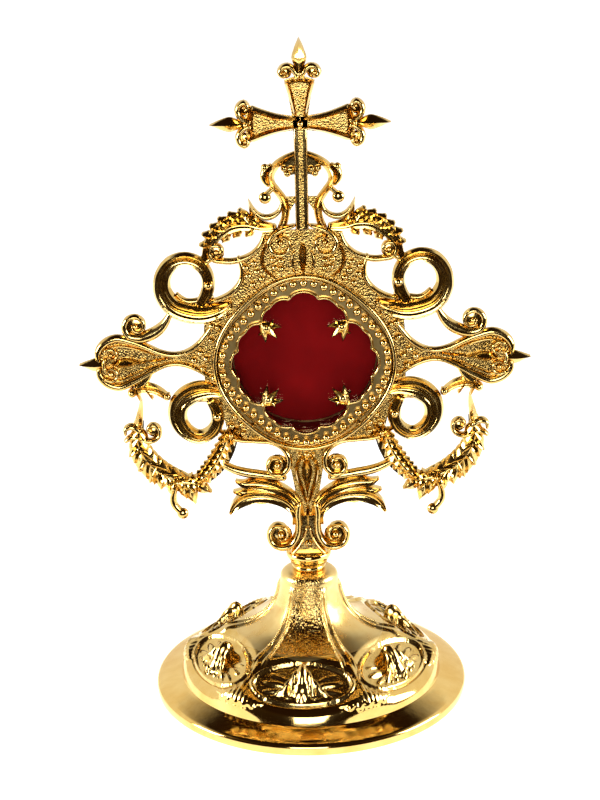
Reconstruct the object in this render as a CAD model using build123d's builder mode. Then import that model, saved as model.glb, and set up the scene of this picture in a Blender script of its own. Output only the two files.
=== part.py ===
"""Reliquary monstrance: cast and gold-plated brass, on a round foot, with a glazed window and a back door.

Millimetres, +Z up. The front of the object faces -Y. The origin is on the table, under the stem's axis.
"""

import os
from math import cos, radians, sin

from build123d import *

# ---------------------------------------------------------------- driving dimensions

# Foot
base_radius = 55.0  # outer edge of the flange
rim_height = 3.8  # upright edge of the flange
flange_rise = 7.0  # height where the flange meets the drum
flange_width = 9.5  # from the rim in to the drum's foot
drum_draft = 1.5  # the drum leans in by this much
drum_height = 16.0  # top edge of the drum
medallion_band = 11.0  # sloping band that carries the medallions; the six panels sweep up from it
panel_height = 21.0
neck_radius = 10.4  # narrowest part of the trumpet
neck_rise = 5.0  # from the narrowest part up to the flat top
shoulder_radius = 7.0  # flat top that the stem stands on
base_height = 44.0
base_wall = 2.0
roof_thickness = 6.0  # solid top of the neck, which the washer pulls on
base_turn = -6.0  # the foot sits turned a little on the rod, degrees
panel_count = 6
medallion_length = 34.0
medallion_width = 13.6
medallion_rim = 1.2
ridge_width = 2.4
ridge_height = 0.7

# Stem
rod_radius = 2.0
rod_clearance = 0.1  # rod in the holes that it only passes through
thread_clearance = 0.03  # rod in the nut and in the tapped foot of the head
thread_depth = 13.0  # how far the rod goes into the head
collar_radius = 5.8
collar_height = 2.0
cup_radius = 7.8
cup_foot_radius = 6.6
cup_height = 5.0
washer_radius = 6.5
washer_thickness = 1.0
nut_across_flats = 7.0
nut_height = 3.2
rod_below_nut = 2.0

# Head casting
head_width = 151.0  # over the tips of the two side fleurons
plate_front = 3.0  # front of the casting, this far in front of the stem's axis
plate_back = 1.0  # its flat back, this far behind the axis
relief = 1.2  # raised bands and bosses on the front
foot_depth = 8.0  # the foot of the head is thicker, to take the rod
foot_half_width = 5.5
foot_drop = 69.0  # from the window's centre down to the foot's underside, at the width above

# Window
window_radius = 24.6  # at the four round lobes
bezel_land = 4.0  # the bezel reaches this far past the glass; its edge waves by 0.7 about that
bezel_thickness = 2.0
bead_radius = 0.95
bead_count = 48
glass_lap = 1.0  # the glass is this much larger than the lobes
glass_thickness = 1.5
glass_clearance = 0.15
glass_ring_width = 1.1
glass_ring_thickness = 1.0

# Capsule and door
seat_margin = 0.4  # the bore that the relic holder goes into is this much larger than the window's lobes
seat_depth = 7.0
capsule_wall = 2.0
flange_land = 2.0  # flange left outside the circle of the screws
capsule_flange_thickness = 1.6
screw_land = 2.0  # from the capsule's wall out to the circle of the screws
screw_radius = 0.8
screw_head_radius = 1.5
screw_clearance = 0.1
door_lap = 0.5  # the door is this much larger than the capsule
door_thickness = 1.6
door_gap = 0.05  # running gap between the capsule's mouth and the door
lining_gap = 0.6  # between the lining's edge and the seat
lining_thickness = 0.95
lining_backing = 0.6  # metal left behind the lining
lining_clearance = 0.2
pin_radius = 0.8
pin_clearance = 0.05
knuckle_radius = 1.7
knuckle_length = 8.0
knuckle_gap = 0.2
tab_width = 7.0
tab_reach = 3.5  # how far the thumb tab stands out past the door's edge
catch_width = 5.0
catch_thickness = 0.5
catch_clearance = 0.15
rivet_radius = 0.6
rivet_offset = 1.4  # each rivet from the middle of the leaf
rivet_land = 1.6  # rivets from the capsule's wall

# ---------------------------------------------------------------- values that follow from them

drum_radius = base_radius - flange_width
drum_top_radius = drum_radius - drum_draft
panel_radius = drum_top_radius - medallion_band
neck_height = base_height - neck_rise
head_scale = head_width / 151.0  # the ornament is drawn at 151 mm over the fleurons
stem_top = base_height + collar_height + cup_height
head_centre = stem_top + foot_drop * head_scale
roof_height = base_height - roof_thickness
plate_thickness = plate_front + plate_back
glass_radius = window_radius + glass_lap
bezel_radius = glass_radius + bezel_land
seat_radius = window_radius + seat_margin
capsule_radius = seat_radius + capsule_wall
screw_circle = capsule_radius + screw_land
capsule_flange_radius = screw_circle + flange_land
plate_circle = max(capsule_flange_radius, bezel_radius + 0.7) + 0.8  # the plate backs both of them
door_radius = capsule_radius + door_lap
lining_radius = seat_radius - lining_gap
capsule_mouth = plate_back + seat_depth
door_inside = capsule_mouth + door_gap
door_outside = door_inside + door_thickness
lining_inside = door_outside - lining_backing - lining_thickness
hinge_x = -(door_radius + knuckle_radius)
hinge_y = (door_inside + door_outside) / 2
tab_end = door_radius + tab_reach
rivet_x = capsule_radius + rivet_land
door_leaf_start = door_radius - 1.5  # the hinge leaf laps the disc of the door by this much


# ---------------------------------------------------------------- drawing the ornament

def drawn(points):
    """Ornament points, in mm from the window's centre at the drawn width, put at the head's size."""
    return [(x * head_scale, head_centre + height * head_scale) for x, height in points]


def band(points, start_width, end_width):
    """A scroll: a strip with round ends that follows a curve and tapers along it."""
    with BuildSketch() as shape:
        with BuildLine():
            path = Spline(*drawn(points), mode=Mode.PRIVATE)
            steps = 2 * len(points) + 1
            left, right = [], []
            for step in range(steps):
                share = step / (steps - 1)
                half = (start_width + (end_width - start_width) * share) / 2 * head_scale
                side = (path % share).rotate(Axis.Z, 90) * half
                left.append(path @ share + side)
                right.append(path @ share - side)
            Spline(*left)
            Spline(*right)
            ThreePointArc(left[0], path @ 0 - (path % 0) * start_width / 2 * head_scale, right[0])
            ThreePointArc(left[-1], path @ 1 + (path % 1) * end_width / 2 * head_scale, right[-1])
        make_face()
    return shape.sketch


def patch(*runs):
    """A closed outline made of runs, each from one corner to the next: straight, or a smooth curve."""
    with BuildSketch() as shape:
        with BuildLine():
            for run in runs:
                if len(run) == 2:
                    Line(*drawn(run))
                else:
                    Spline(*drawn(run))
            if runs[-1][-1] != runs[0][0]:
                Line(*drawn([runs[-1][-1], runs[0][0]]))
        make_face()
    return shape.sketch


def leaf(root, tip, width):
    """A pointed leaf with two curved sides."""
    with BuildSketch() as shape:
        with BuildLine():
            start, end = [Vector(*point) for point in drawn([root, tip])]
            middle = start * 0.6 + end * 0.4
            side = (end - start).normalized().rotate(Axis.Z, 90) * width / 2 * head_scale
            ThreePointArc(start, middle + side, end)
            ThreePointArc(start, middle - side, end)
        make_face()
    return shape.sketch


def disc(x, height, radius_x, radius_z=None):
    """A round or oval boss."""
    place = drawn([(x, height)])[0]
    with BuildSketch() as shape:
        with Locations(place):
            Ellipse(radius_x * head_scale, (radius_z or radius_x * 1.001) * head_scale)
    return shape.sketch


def on_head(depth):
    """The plane of the head at this distance in front of the stem's axis."""
    return Plane.XZ.offset(depth)


def polar(radius, angle):
    """A point of the window, in the head's plane."""
    return (radius * cos(radians(angle)), head_centre + radius * sin(radians(angle)))


# ---------------------------------------------------------------- foot

def neck_point(share, inset):
    """The trumpet between the panels' foot and the neck, and the same curve inside the wall."""
    radius = neck_radius + (panel_radius - neck_radius) * (1 - share) ** 1.5
    height = panel_height + (neck_height - panel_height) * share
    return (radius - inset, height - inset)


neck_shares = [0, 0.25, 0.5, 0.75, 1]
drum_inside = drum_top_radius - base_wall

with BuildPart() as ridges:
    with BuildSketch(Plane.XZ):
        with BuildLine():
            outer = [(r + ridge_height, z + ridge_height) for r, z in (neck_point(s, 0) for s in neck_shares)]
            inner = [neck_point(share, base_wall / 2) for share in neck_shares]
            Spline(*outer)
            Spline(*inner)
            Line(outer[0], inner[0])
            Line(outer[-1], inner[-1])
        make_face()
    revolve(axis=Axis.Z)
    with BuildSketch(Plane.XY.offset(panel_height - 2 * base_wall)):
        with PolarLocations(0, panel_count, start_angle=base_turn - 90 + 180 / panel_count):
            with Locations((panel_radius / 2 + 4, 0)):
                Rectangle(panel_radius + 8, ridge_width)
    extrude(amount=base_height, mode=Mode.INTERSECT)

with BuildPart() as base_shell:
    with BuildSketch(Plane.XZ):
        with BuildLine():
            Line((base_radius - 4, 0), (base_radius - 0.8, 0))
            ThreePointArc((base_radius - 0.8, 0), (base_radius - 0.2, 0.3), (base_radius, 0.9))
            Line((base_radius, 0.9), (base_radius, rim_height - 0.6))
            ThreePointArc(
                (base_radius, rim_height - 0.6),
                (base_radius - 0.2, rim_height - 0.1),
                (base_radius - 0.6, rim_height),
            )
            Line((base_radius - 0.6, rim_height), (drum_radius + 2.0, flange_rise))
            ThreePointArc(
                (drum_radius + 2.0, flange_rise),
                (drum_radius + 0.6, flange_rise + 0.6),
                (drum_radius, flange_rise + 2.0),
            )
            Line((drum_radius, flange_rise + 2.0), (drum_top_radius, drum_height))
            Line((drum_top_radius, drum_height), (panel_radius, panel_height))
            Spline(*[neck_point(share, 0) for share in neck_shares])
            ThreePointArc(
                (neck_radius, neck_height),
                (neck_radius - 0.6, (neck_height + base_height) / 2),
                (shoulder_radius, base_height),
            )
            Line((shoulder_radius, base_height), (rod_radius + rod_clearance, base_height))
            Line((rod_radius + rod_clearance, base_height), (rod_radius + rod_clearance, roof_height))
            inside = [neck_point(share, base_wall) for share in neck_shares]
            Line((rod_radius + rod_clearance, roof_height), (inside[-1][0], roof_height))
            Line((inside[-1][0], roof_height), inside[-1])
            Spline(*inside)
            Line(inside[0], (drum_inside, drum_height - base_wall))
            Line((drum_inside, drum_height - base_wall), (drum_radius - base_wall, flange_rise))
            Line((drum_radius - base_wall, flange_rise), (base_radius - 4, rim_height - 1.6))
            Line((base_radius - 4, rim_height - 1.6), (base_radius - 4, 0))
        make_face()
    revolve(axis=Axis.Z)
    add(ridges.part)
    slope = (drum_height - panel_height) / (drum_top_radius - panel_radius)
    medallion_radius = (drum_top_radius + panel_radius) / 2 + 0.4
    medallion_height = (drum_height + panel_height) / 2 - 0.2
    for panel in range(panel_count):
        angle = radians(base_turn - 90 + panel * 360 / panel_count)
        outward = Vector(cos(angle), sin(angle), 0)
        panel_face = Plane(
            origin=outward * medallion_radius + Vector(0, 0, medallion_height),
            x_dir=Vector(-sin(angle), cos(angle), 0),
            z_dir=outward * -slope + Vector(0, 0, 1),
        )
        with BuildSketch(panel_face.offset(-base_wall)):
            Ellipse(medallion_length / 2, medallion_width / 2)
        extrude(amount=base_wall + 1.0)
        with BuildSketch(panel_face.offset(1.0)):
            Ellipse(medallion_length / 2 - medallion_rim, medallion_width / 2 - medallion_rim)
        extrude(amount=-0.8, mode=Mode.SUBTRACT)
        with BuildSketch(panel_face):  # palmette: a high central leaf between two low wings
            with Locations((0, -0.6)):
                Ellipse(4.2, 4.4)
        extrude(amount=5.0, taper=32)
        with BuildSketch(panel_face):
            with Locations((-8.5, -0.5), (8.5, -0.5)):
                Ellipse(5.0, 2.6)
        extrude(amount=1.4, taper=30)
base_shell.part.label = "base_shell"

with BuildPart() as base_washer:
    with BuildSketch(Plane.XY.offset(roof_height - washer_thickness)):
        Circle(washer_radius)
        Circle(rod_radius + rod_clearance, mode=Mode.SUBTRACT)
    extrude(amount=washer_thickness)
base_washer.part.label = "base_washer"

nut_top = roof_height - washer_thickness
with BuildPart() as base_nut:
    with BuildSketch(Plane.XY.offset(nut_top - nut_height)):
        RegularPolygon(nut_across_flats / 2, 6, major_radius=False)
        Circle(rod_radius + thread_clearance, mode=Mode.SUBTRACT)
    extrude(amount=nut_height)
    chamfer(base_nut.faces().sort_by(Axis.Z)[0].outer_wire().edges(), 0.3)
base_nut.part.label = "base_nut"

# ---------------------------------------------------------------- stem

rod_bottom = nut_top - nut_height - rod_below_nut
rod_top = stem_top + thread_depth
with BuildPart() as tie_rod:
    with BuildSketch(Plane.XY.offset(rod_bottom)):
        Circle(rod_radius)
    extrude(amount=rod_top - rod_bottom)
    chamfer(tie_rod.edges(), 0.4)
tie_rod.part.label = "tie_rod"

with BuildPart() as stem_collar:
    with BuildSketch(Plane.XY.offset(base_height)):
        Circle(collar_radius)
    extrude(amount=collar_height)
    fillet(stem_collar.edges(), collar_height * 0.4)
    with BuildSketch(Plane.XY.offset(base_height)):
        Circle(rod_radius + rod_clearance)
    extrude(amount=collar_height, mode=Mode.SUBTRACT)
stem_collar.part.label = "stem_collar"

cup_foot = base_height + collar_height
with BuildPart() as stem_cup:
    with BuildSketch(Plane.XZ):
        with BuildLine():
            Line((rod_radius + rod_clearance, cup_foot), (cup_foot_radius - 1, cup_foot))
            ThreePointArc(
                (cup_foot_radius - 1, cup_foot),
                (cup_foot_radius + 0.3, cup_foot + cup_height * 0.35),
                (cup_radius, cup_foot + cup_height * 0.6),
            )
            Line((cup_radius, cup_foot + cup_height * 0.6), (cup_radius, stem_top - 0.5))
            Line((cup_radius, stem_top - 0.5), (cup_radius - 0.5, stem_top))
            Line((cup_radius - 0.5, stem_top), (rod_radius + rod_clearance, stem_top))
            Line((rod_radius + rod_clearance, stem_top), (rod_radius + rod_clearance, cup_foot))
        make_face()
    revolve(axis=Axis.Z)
stem_cup.part.label = "stem_cup"

# ---------------------------------------------------------------- head casting

shaft_half_width = 2.2 * head_scale
shaft_foot = 45.5  # the cross is let into the crest down to here
glass_hole = glass_radius + glass_clearance
limb_line = [(24, -25.5), (27.5, -33), (31, -37.8), (35.4, -41.6)]  # the garland hangs from its end
shell_runs = [  # and from the shell under the fleuron
    [(45, -10.5), (50, -7.7), (55, -6), (59, -8.4)],
    [(59, -8.4), (59.3, -11)],
    [(59.3, -11), (54, -12.3), (49, -12.4), (44.5, -12.5)],
]

with BuildPart() as head_frame:
    with BuildSketch(on_head(-plate_back)):
        # plate around the window, from the crest down to the branch of the foot
        add(patch(
            [(0, 45.5), (12.5, 45.5)],
            [(12.5, 45.5), (14.5, 40.5), (17.5, 37.5), (21.8, 36)],
            [(21.8, 36), (20.8, 32), (20.7, 29), (23, 25.8), (27, 23.2), (31, 21.6)],
            [(31, 21.6), (33, 16), (33.8, 8), (33.9, 0), (33.5, -8), (31, -13), (28, -19), (27, -24)],
            [(27, -24), (26.5, -27.6), (20, -28.6), (12, -29.2), (6.5, -32)],
            [(6.5, -32), (0, -32)],
        ))
        with Locations((0, head_centre)):
            Circle(plate_circle)
        # arm and side fleuron
        add(patch(
            [(32, 11.5), (36, 7), (40, 4.3), (44, 3.8), (48, 4), (53, 6)],
            [(53, 6), (53, -3)],
            [(53, -3), (47, -1), (42, -0.2), (38, -1), (32, -4.5)],
        ))
        add(patch(
            [(46, 1.5), (52, 6), (58, 8.5), (64, 10.2), (68.5, 7.5), (70.5, 3)],
            [(70.5, 3), (75.5, 0.5)],
            [(75.5, 0.5), (70.3, -2)],
            [(70.3, -2), (67.5, -7), (64, -8.6), (58, -6.4), (52, -2.5), (46, 0)],
        ))
        # scroll over the fleuron
        add(band([(44.5, 17.5), (46, 14), (49, 11.5), (53, 9.5), (57, 8.5)], 2.8, 2.4))
        add(disc(56.5, 13.2, 3.6))
        # upper and lower ring scrolls
        add(disc(38.3, 25.5, 10, 11.3))
        add(disc(32.5, 29, 3))
        add(disc(36.7, -16.8, 10.3))
        # shell under the fleuron
        add(patch(*shell_runs))
        # limb that carries the garland
        add(band(limb_line, 7.0, 5.0))
        # foot: branch, big leaf, volutes and the stem between them
        add(disc(10, -36.5, 4.3))
        add(band([(12, -27.5), (8, -29.5), (5.5, -33), (5.3, -36.5), (7, -39.7), (10, -41)], 2.2, 2.0))
        add(band([(10, -40), (19, -39.7), (24.5, -38), (29.5, -35.5)], 3.4, 2.4))
        add(patch(
            [(3, -58), (2.5, -54), (4, -50), (8, -46), (13, -43.5), (18, -42.5), (23.5, -42.5)],
            [(23.5, -42.5), (24.6, -46), (26.5, -53)],
            [(26.5, -53), (21, -48.6), (17, -48), (12, -48.3), (8.5, -49.5), (6, -53), (5.5, -56)],
        ))
        add(disc(16.5, -49.6, 2))
        add(disc(9.3, -62.8, 4.5))
        add(band([(3.5, -50), (3, -58), (3.5, -63), (6, -66.5), (9, -67.4)], 2.4, 2.0))
        add(patch(
            [(0, -30), (6.5, -30)],
            [(6.5, -30), (5.6, -38), (4.6, -44), (3.6, -52), (3.6, -60), (5.5, -69)],
            [(5.5, -69), (0, -69)],
        ))
        # crest leaf and its bands
        add(patch(
            [(6.8, 56), (7.2, 53), (9.5, 50.7), (12, 50), (15, 51), (17.5, 55.5)],
            [(17.5, 55.5), (19, 53.5), (25.5, 50.3), (30.5, 46.5), (33.2, 44)],
            [(33.2, 44), (32.2, 40), (33.4, 34.6)],
            [(33.4, 34.6), (26, 37)],
            [(26, 37), (28.3, 41.8)],
            [(28.3, 41.8), (23.5, 44.6), (19, 45), (15, 44.3), (12.5, 43)],
            [(12.5, 43), (5.5, 45.5)],
        ))
        add(disc(28.5, 38.3, 2.9))
        add(band([(12.5, 44), (14, 40.5), (17, 37.5), (20, 36), (23, 35.5), (26.5, 36.5)], 2.2, 2.0))
        # arch scroll beside the shaft, with its leaf and the web below it
        arch = [(2, 71), (5.5, 69.3), (8.5, 67), (10.2, 64), (10, 61.3), (8, 58.8), (6.2, 56), (5.6, 53)]
        add(band(arch + [(6.3, 50), (9, 47.7)], 1.9, 2.2))
        add(disc(11.3, 63.3, 1.3, 3))
        add(leaf((9.2, 60.6), (12.2, 55.6), 3.4))
        add(patch([(1, 71), (7, 67)], [(7, 67), (6, 64.8), (4.6, 64), (1, 64.6)]))
        add(patch([(1, 56.5), (6, 56.5)], [(6, 56.5), (5.6, 53), (7, 49)], [(7, 49), (8, 45), (1, 45)]))
        mirror(about=Plane.YZ)
        # openings
        with Locations(*drawn([(39.3, 28), (-39.3, 28)])):
            Ellipse(4.9 * head_scale, 6 * head_scale, mode=Mode.SUBTRACT)
        with Locations(*drawn([(36.2, -18.7), (-36.2, -18.7)])):
            Ellipse(4 * head_scale, 5 * head_scale, mode=Mode.SUBTRACT)
        with Locations((0, head_centre)):
            Circle(glass_hole, mode=Mode.SUBTRACT)
        with Locations(*drawn([(0, (shaft_foot + 75) / 2)])):
            Rectangle(2 * shaft_half_width, (75 - shaft_foot) * head_scale, mode=Mode.SUBTRACT)
    extrude(amount=plate_thickness)
    with BuildSketch(on_head(plate_front - 0.2)):
        # raised borders and bosses
        add(band([(33, 10), (36, 6.2), (40, 3.4), (44, 2.9), (48, 3.1), (52, 4.6)], 1.6, 1.6))
        add(band([(34, -4), (38, 0), (42, 0.8), (47, 0), (52, -1.6)], 1.2, 1.2))
        add(band([(48, 2), (53, 5.2), (58, 7.4), (63.5, 9), (67.5, 7), (69.4, 3)], 1.8, 1.8))
        add(band([(48, -0.4), (53, -2.4), (58, -5.3), (63.5, -7.4), (67, -5.6), (69.4, -1.6)], 1.8, 1.8))
        add(leaf((62.5, 0.8), (52.5, 0.8), 3.2))
        add(disc(65, 3.5, 2))
        add(disc(65.5, -2.5, 2.2))
        add(disc(56.5, 13.2, 2.2))
        add(disc(32.5, 29, 2))
        add(disc(31.5, -18.5, 2.2))
        add(disc(10, -36.5, 2.8))
        add(disc(9.3, -62.8, 3))
        add(disc(28.5, 38.3, 1.9))
        add(disc(7.2, 41.3, 3.6))
        add(band([(4, -50), (8, -46.8), (13, -44.5), (18, -43.6), (23, -43.6)], 1.6, 1.2))
        add(band([(25.4, -27), (28.6, -33), (32, -38)], 2.0, 2.0))
        mirror(about=Plane.YZ)
        add(disc(0, -41, 2.6, 6))
    extrude(amount=relief + 0.2)
    with BuildSketch(on_head(plate_front - 0.2)):
        # the two flutes of each ring scroll
        add(disc(38.6, 26.2, 8.6, 9.8))
        add(disc(36.5, -17.2, 8.6, 9))
        mirror(about=Plane.YZ)
        with Locations(*drawn([(39.1, 27.6), (-39.1, 27.6)])):
            Ellipse(6.4 * head_scale, 7.7 * head_scale, mode=Mode.SUBTRACT)
        with Locations(*drawn([(36.3, -18.4), (-36.3, -18.4)])):
            Ellipse(6 * head_scale, 6.8 * head_scale, mode=Mode.SUBTRACT)
    extrude(amount=relief + 0.2)
    with BuildSketch(on_head(plate_front)):
        # flat land for the bezel
        with Locations((0, head_centre)):
            Circle(bezel_radius + 0.8)
    extrude(amount=bezel_thickness, mode=Mode.SUBTRACT)
    with BuildSketch(on_head(-foot_depth / 2)):
        # thick foot around the rod
        add(patch(
            [(-foot_half_width, -foot_drop), (foot_half_width, -foot_drop)],
            [(foot_half_width, -foot_drop), (3.8, -62), (3.6, -53)],
            [(3.6, -53), (-3.6, -53)],
            [(-3.6, -53), (-3.8, -62), (-foot_half_width, -foot_drop)],
        ))
    extrude(amount=foot_depth)
    with BuildSketch(Plane.XY.offset(stem_top)):
        Circle(rod_radius + thread_clearance)
    extrude(amount=thread_depth + 0.5, mode=Mode.SUBTRACT)
    with BuildSketch(on_head(-plate_back)):
        # tapped holes for the capsule's screws
        with Locations((0, head_centre)):
            with PolarLocations(screw_circle, 4, start_angle=45):
                Circle(screw_radius + thread_clearance)
    extrude(amount=plate_thickness, mode=Mode.SUBTRACT)
head_frame.part.label = "head_frame"

# ---------------------------------------------------------------- cross

with BuildPart() as cross:
    with BuildSketch(on_head(-plate_back)):
        add(patch([(0, 90), (2.2, 90)], [(2.2, 90), (2.2, 76)], [(2.2, 76), (0, 76)]))
        add(patch(
            [(0, 82.8), (9, 84.2), (15.5, 86.2)],
            [(15.5, 86.2), (19, 84.4), (20.3, 83)],
            [(20.3, 83), (26.8, 80.6)],
            [(26.8, 80.6), (20.3, 78.2)],
            [(20.3, 78.2), (19, 76.8), (15.5, 75)],
            [(15.5, 75), (9, 77), (0, 78.4)],
        ))
        add(disc(18.8, 86, 2.2))
        add(disc(18.8, 75.4, 2.2))
        add(patch(
            [(0, 80), (2.4, 80)],
            [(2.4, 80), (3.4, 88), (5, 94)],
            [(5, 94), (5, 96), (4.5, 99), (2.1, 101.2)],
            [(2.1, 101.2), (0, 107.8)],
        ))
        add(disc(5, 99.2, 2.3))
        mirror(about=Plane.YZ)
        with Locations(*drawn([(0, (shaft_foot + 80) / 2)])):
            Rectangle(2 * shaft_half_width, (80 - shaft_foot) * head_scale)
    extrude(amount=plate_thickness)
    with BuildSketch(on_head(plate_front - 0.2)):
        # raised edges of the arms, bosses of the three end leaves
        add(band([(1.5, 82), (8, 83), (14.6, 85)], 1.4, 1.4))
        add(band([(1.5, 79.2), (8, 78.2), (14.6, 76.2)], 1.4, 1.4))
        add(band([(1.6, 82), (2.6, 88), (4, 93.4)], 1.4, 1.4))
        add(band([(1.5, 78.5), (1.5, 62), (1.5, 47)], 1.2, 1.2))
        add(disc(18.8, 86, 1.6))
        add(disc(18.8, 75.4, 1.6))
        add(disc(5, 99.2, 1.6))
        add(leaf((17, 80.6), (25, 80.6), 2.8))
        mirror(about=Plane.YZ)
        add(leaf((0, 97), (0, 105.6), 2.6))
    extrude(amount=relief * 0.8 + 0.2)
cross.part.label = "cross"

# ---------------------------------------------------------------- garlands

def garland_sketch():
    """The right-hand garland: a leafy festoon between the shell and the limb of the head."""
    with BuildSketch() as shape:
        add(band([(55.6, -12.35), (56.2, -17), (57, -21)], 1.6, 3.2))
        add(band([(57, -21), (56.8, -28), (54.5, -34.5), (50, -39), (44, -42), (38, -43.4)], 4.0, 7.5))
        add(disc(52, -23.5, 2.8))
        add(band([(53, -25.5), (56, -27)], 2.5, 3))
        add(leaf((57, -24), (61.8, -21.6), 3))
        add(leaf((57, -27), (62, -26.4), 3))
        for root, tip, width in [
            ((56, -29), (60.8, -34.2), 4.6), ((53, -35), (56.2, -42.4), 5.0), ((50, -38), (51.5, -44.6), 4.6),
            ((46, -41), (47, -48), 4.6), ((40, -43), (38.2, -51.6), 5.0), ((38.5, -42.5), (31.4, -45.6), 4.6),
            ((54, -32), (50.5, -29.8), 3.4), ((47, -38), (44.6, -33.8), 3.6), ((41, -41), (38.2, -35.6), 3.6),
        ]:
            add(leaf(root, tip, width))
        add(band([(45.6, -46), (46.4, -50), (43.8, -54)], 2.2, 1.8))
        add(disc(43.4, -54, 1.7))
    return shape.sketch


def garland(side):
    """The garland as a casting: side is 1 for the right one and -1 for its mirror image."""
    with BuildPart() as casting:
        with BuildSketch(on_head(-plate_back)):
            add(garland_sketch())
            # it is brazed to the end of the head's limb and to the underside of the shell
            add(band(limb_line, 7.0, 5.0), mode=Mode.SUBTRACT)
            add(patch(*shell_runs), mode=Mode.SUBTRACT)
        extrude(amount=plate_thickness)
        with BuildSketch(on_head(plate_front - 0.2)):
            add(disc(52, -23.5, 1.8))
            add(disc(44, -42, 2.3))
            add(band([(56.4, -20), (56, -28), (53.6, -33.6), (49.4, -38), (44, -41), (38, -42)], 2.2, 3.0))
            add(band(limb_line, 7.0, 5.0), mode=Mode.SUBTRACT)
        extrude(amount=relief + 0.2)
        if side < 0:
            mirror(about=Plane.YZ, mode=Mode.REPLACE)
    return casting.part


garland_right = garland(1)
garland_right.label = "garland_right"
garland_left = garland(-1)
garland_left.label = "garland_left"

# ---------------------------------------------------------------- window

notch_radius = window_radius - 1.8
lobe_radius = window_radius - 1.1
corner_radius = window_radius - 4.4
quarter_arcs = [  # start, middle and end of each arc of a quarter: radius and angle
    ((notch_radius, -12.5), (window_radius, 0), (notch_radius, 12.5)),
    ((notch_radius, 12.5), (lobe_radius, 21), (notch_radius, 29)),
    ((notch_radius, 29), (window_radius - 3.0, 37.5), (corner_radius, 45)),
    ((corner_radius, 45), (window_radius - 3.0, 52.5), (notch_radius, 61)),
    ((notch_radius, 61), (lobe_radius, 69), (notch_radius, 77.5)),
]


def bead_place(bead):
    """The ring of beads follows a soft quatrefoil."""
    angle = (bead + 0.5) * 360 / bead_count
    return polar(bezel_radius - 3.2 + 1.5 * cos(radians(4 * angle)), angle)


with BuildPart() as bezel:
    with BuildSketch(on_head(plate_front)):
        with BuildLine():
            edge = [polar(bezel_radius + 0.7 * cos(radians(4 * angle)), angle) for angle in range(0, 360, 15)]
            Spline(*edge, periodic=True)
        make_face()
        with BuildSketch(mode=Mode.SUBTRACT):
            with BuildLine():
                for quarter in range(4):
                    for arc in quarter_arcs:
                        ThreePointArc(*[polar(radius, angle + 90 * quarter) for radius, angle in arc])
            make_face()
        for quarter in range(4):  # lilies that point in from the corners
            with BuildSketch():
                for root, tip, spread in [(21.5, 13.8, 0), (20.5, 17.4, -11), (20.5, 17.4, 11)]:
                    with BuildLine():
                        angle = 45 + 90 * quarter
                        start = Vector(*polar(root * window_radius / 24.6, angle))
                        end = Vector(*polar(tip * window_radius / 24.6, angle + spread))
                        side = (end - start).normalized().rotate(Axis.Z, 90) * 1.3
                        ThreePointArc(start, (start + end) / 2 + side, end)
                        ThreePointArc(start, (start + end) / 2 - side, end)
                    make_face()
    extrude(amount=bezel_thickness)
    for bead in range(bead_count):
        bead_x, bead_z = bead_place(bead)
        with Locations((bead_x, -plate_front - bezel_thickness, bead_z)):
            Sphere(bead_radius)
bezel.part.label = "bezel"

with BuildPart() as window_glass:
    with BuildSketch(on_head(plate_front - glass_thickness)):
        with Locations((0, head_centre)):
            Circle(glass_radius)
    extrude(amount=glass_thickness)
window_glass.part.label = "window_glass"

glass_back = plate_front - glass_thickness
with BuildPart() as glass_ring:
    with BuildSketch(on_head(glass_back - glass_ring_thickness)):
        with Locations((0, head_centre)):
            Circle(glass_hole)
            Circle(glass_hole - glass_ring_width, mode=Mode.SUBTRACT)
        with Locations((0, head_centre - glass_hole)):
            Rectangle(4, 4, mode=Mode.SUBTRACT)  # the gap of the sprung ring
    extrude(amount=glass_ring_thickness)
glass_ring.part.label = "glass_ring"

# ---------------------------------------------------------------- capsule and door

flange_back = plate_back + capsule_flange_thickness
with BuildPart() as capsule:
    with BuildSketch(on_head(-flange_back)):
        with Locations((0, head_centre)):
            Circle(capsule_flange_radius)
    extrude(amount=capsule_flange_thickness)
    with BuildSketch(on_head(-capsule_mouth)):
        with Locations((0, head_centre)):
            Circle(capsule_radius)
    extrude(amount=seat_depth)
    for side in (-1, 1):  # two knuckles on lugs, above and below the door's own knuckle
        low = head_centre + side * (knuckle_length / 2 + knuckle_gap + knuckle_length / 4) - knuckle_length / 4
        with BuildSketch(Plane.XY.offset(low)):
            with BuildLine():
                Polyline(
                    (hinge_x - knuckle_radius * 0.9, hinge_y - 0.6),
                    (hinge_x + knuckle_radius * 0.9, hinge_y - 1.4),
                    (hinge_x + knuckle_radius + 1.4, capsule_mouth - 0.4),
                    (-seat_radius - 0.5, capsule_mouth - 0.4),
                    (-seat_radius - 0.5, flange_back),
                    (-capsule_radius - 0.6, flange_back),
                    close=True,
                )
            make_face()
            with Locations((hinge_x, hinge_y)):
                Circle(knuckle_radius)
                Circle(pin_radius, mode=Mode.SUBTRACT)
        extrude(amount=knuckle_length / 2)
    with BuildSketch(on_head(-capsule_mouth)):
        with Locations((0, head_centre)):
            Circle(seat_radius)
    extrude(amount=seat_depth, mode=Mode.SUBTRACT)
    with BuildSketch(on_head(-plate_back)):
        with Locations((0, head_centre)):
            with PolarLocations(screw_circle, 4, start_angle=45):
                Circle(screw_radius + screw_clearance)
    extrude(amount=-capsule_flange_thickness, mode=Mode.SUBTRACT)
    with BuildSketch(on_head(-flange_back)):
        with Locations((0, head_centre)):
            with PolarLocations(screw_circle, 4, start_angle=45):
                Circle(screw_head_radius + screw_clearance)
    extrude(amount=0.8, taper=45, mode=Mode.SUBTRACT)
    with BuildSketch(on_head(-flange_back)):
        with Locations(*[(rivet_x, head_centre + offset) for offset in (-rivet_offset, rivet_offset)]):
            Circle(rivet_radius)
    extrude(amount=capsule_flange_thickness, mode=Mode.SUBTRACT)
capsule.part.label = "capsule"

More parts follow.
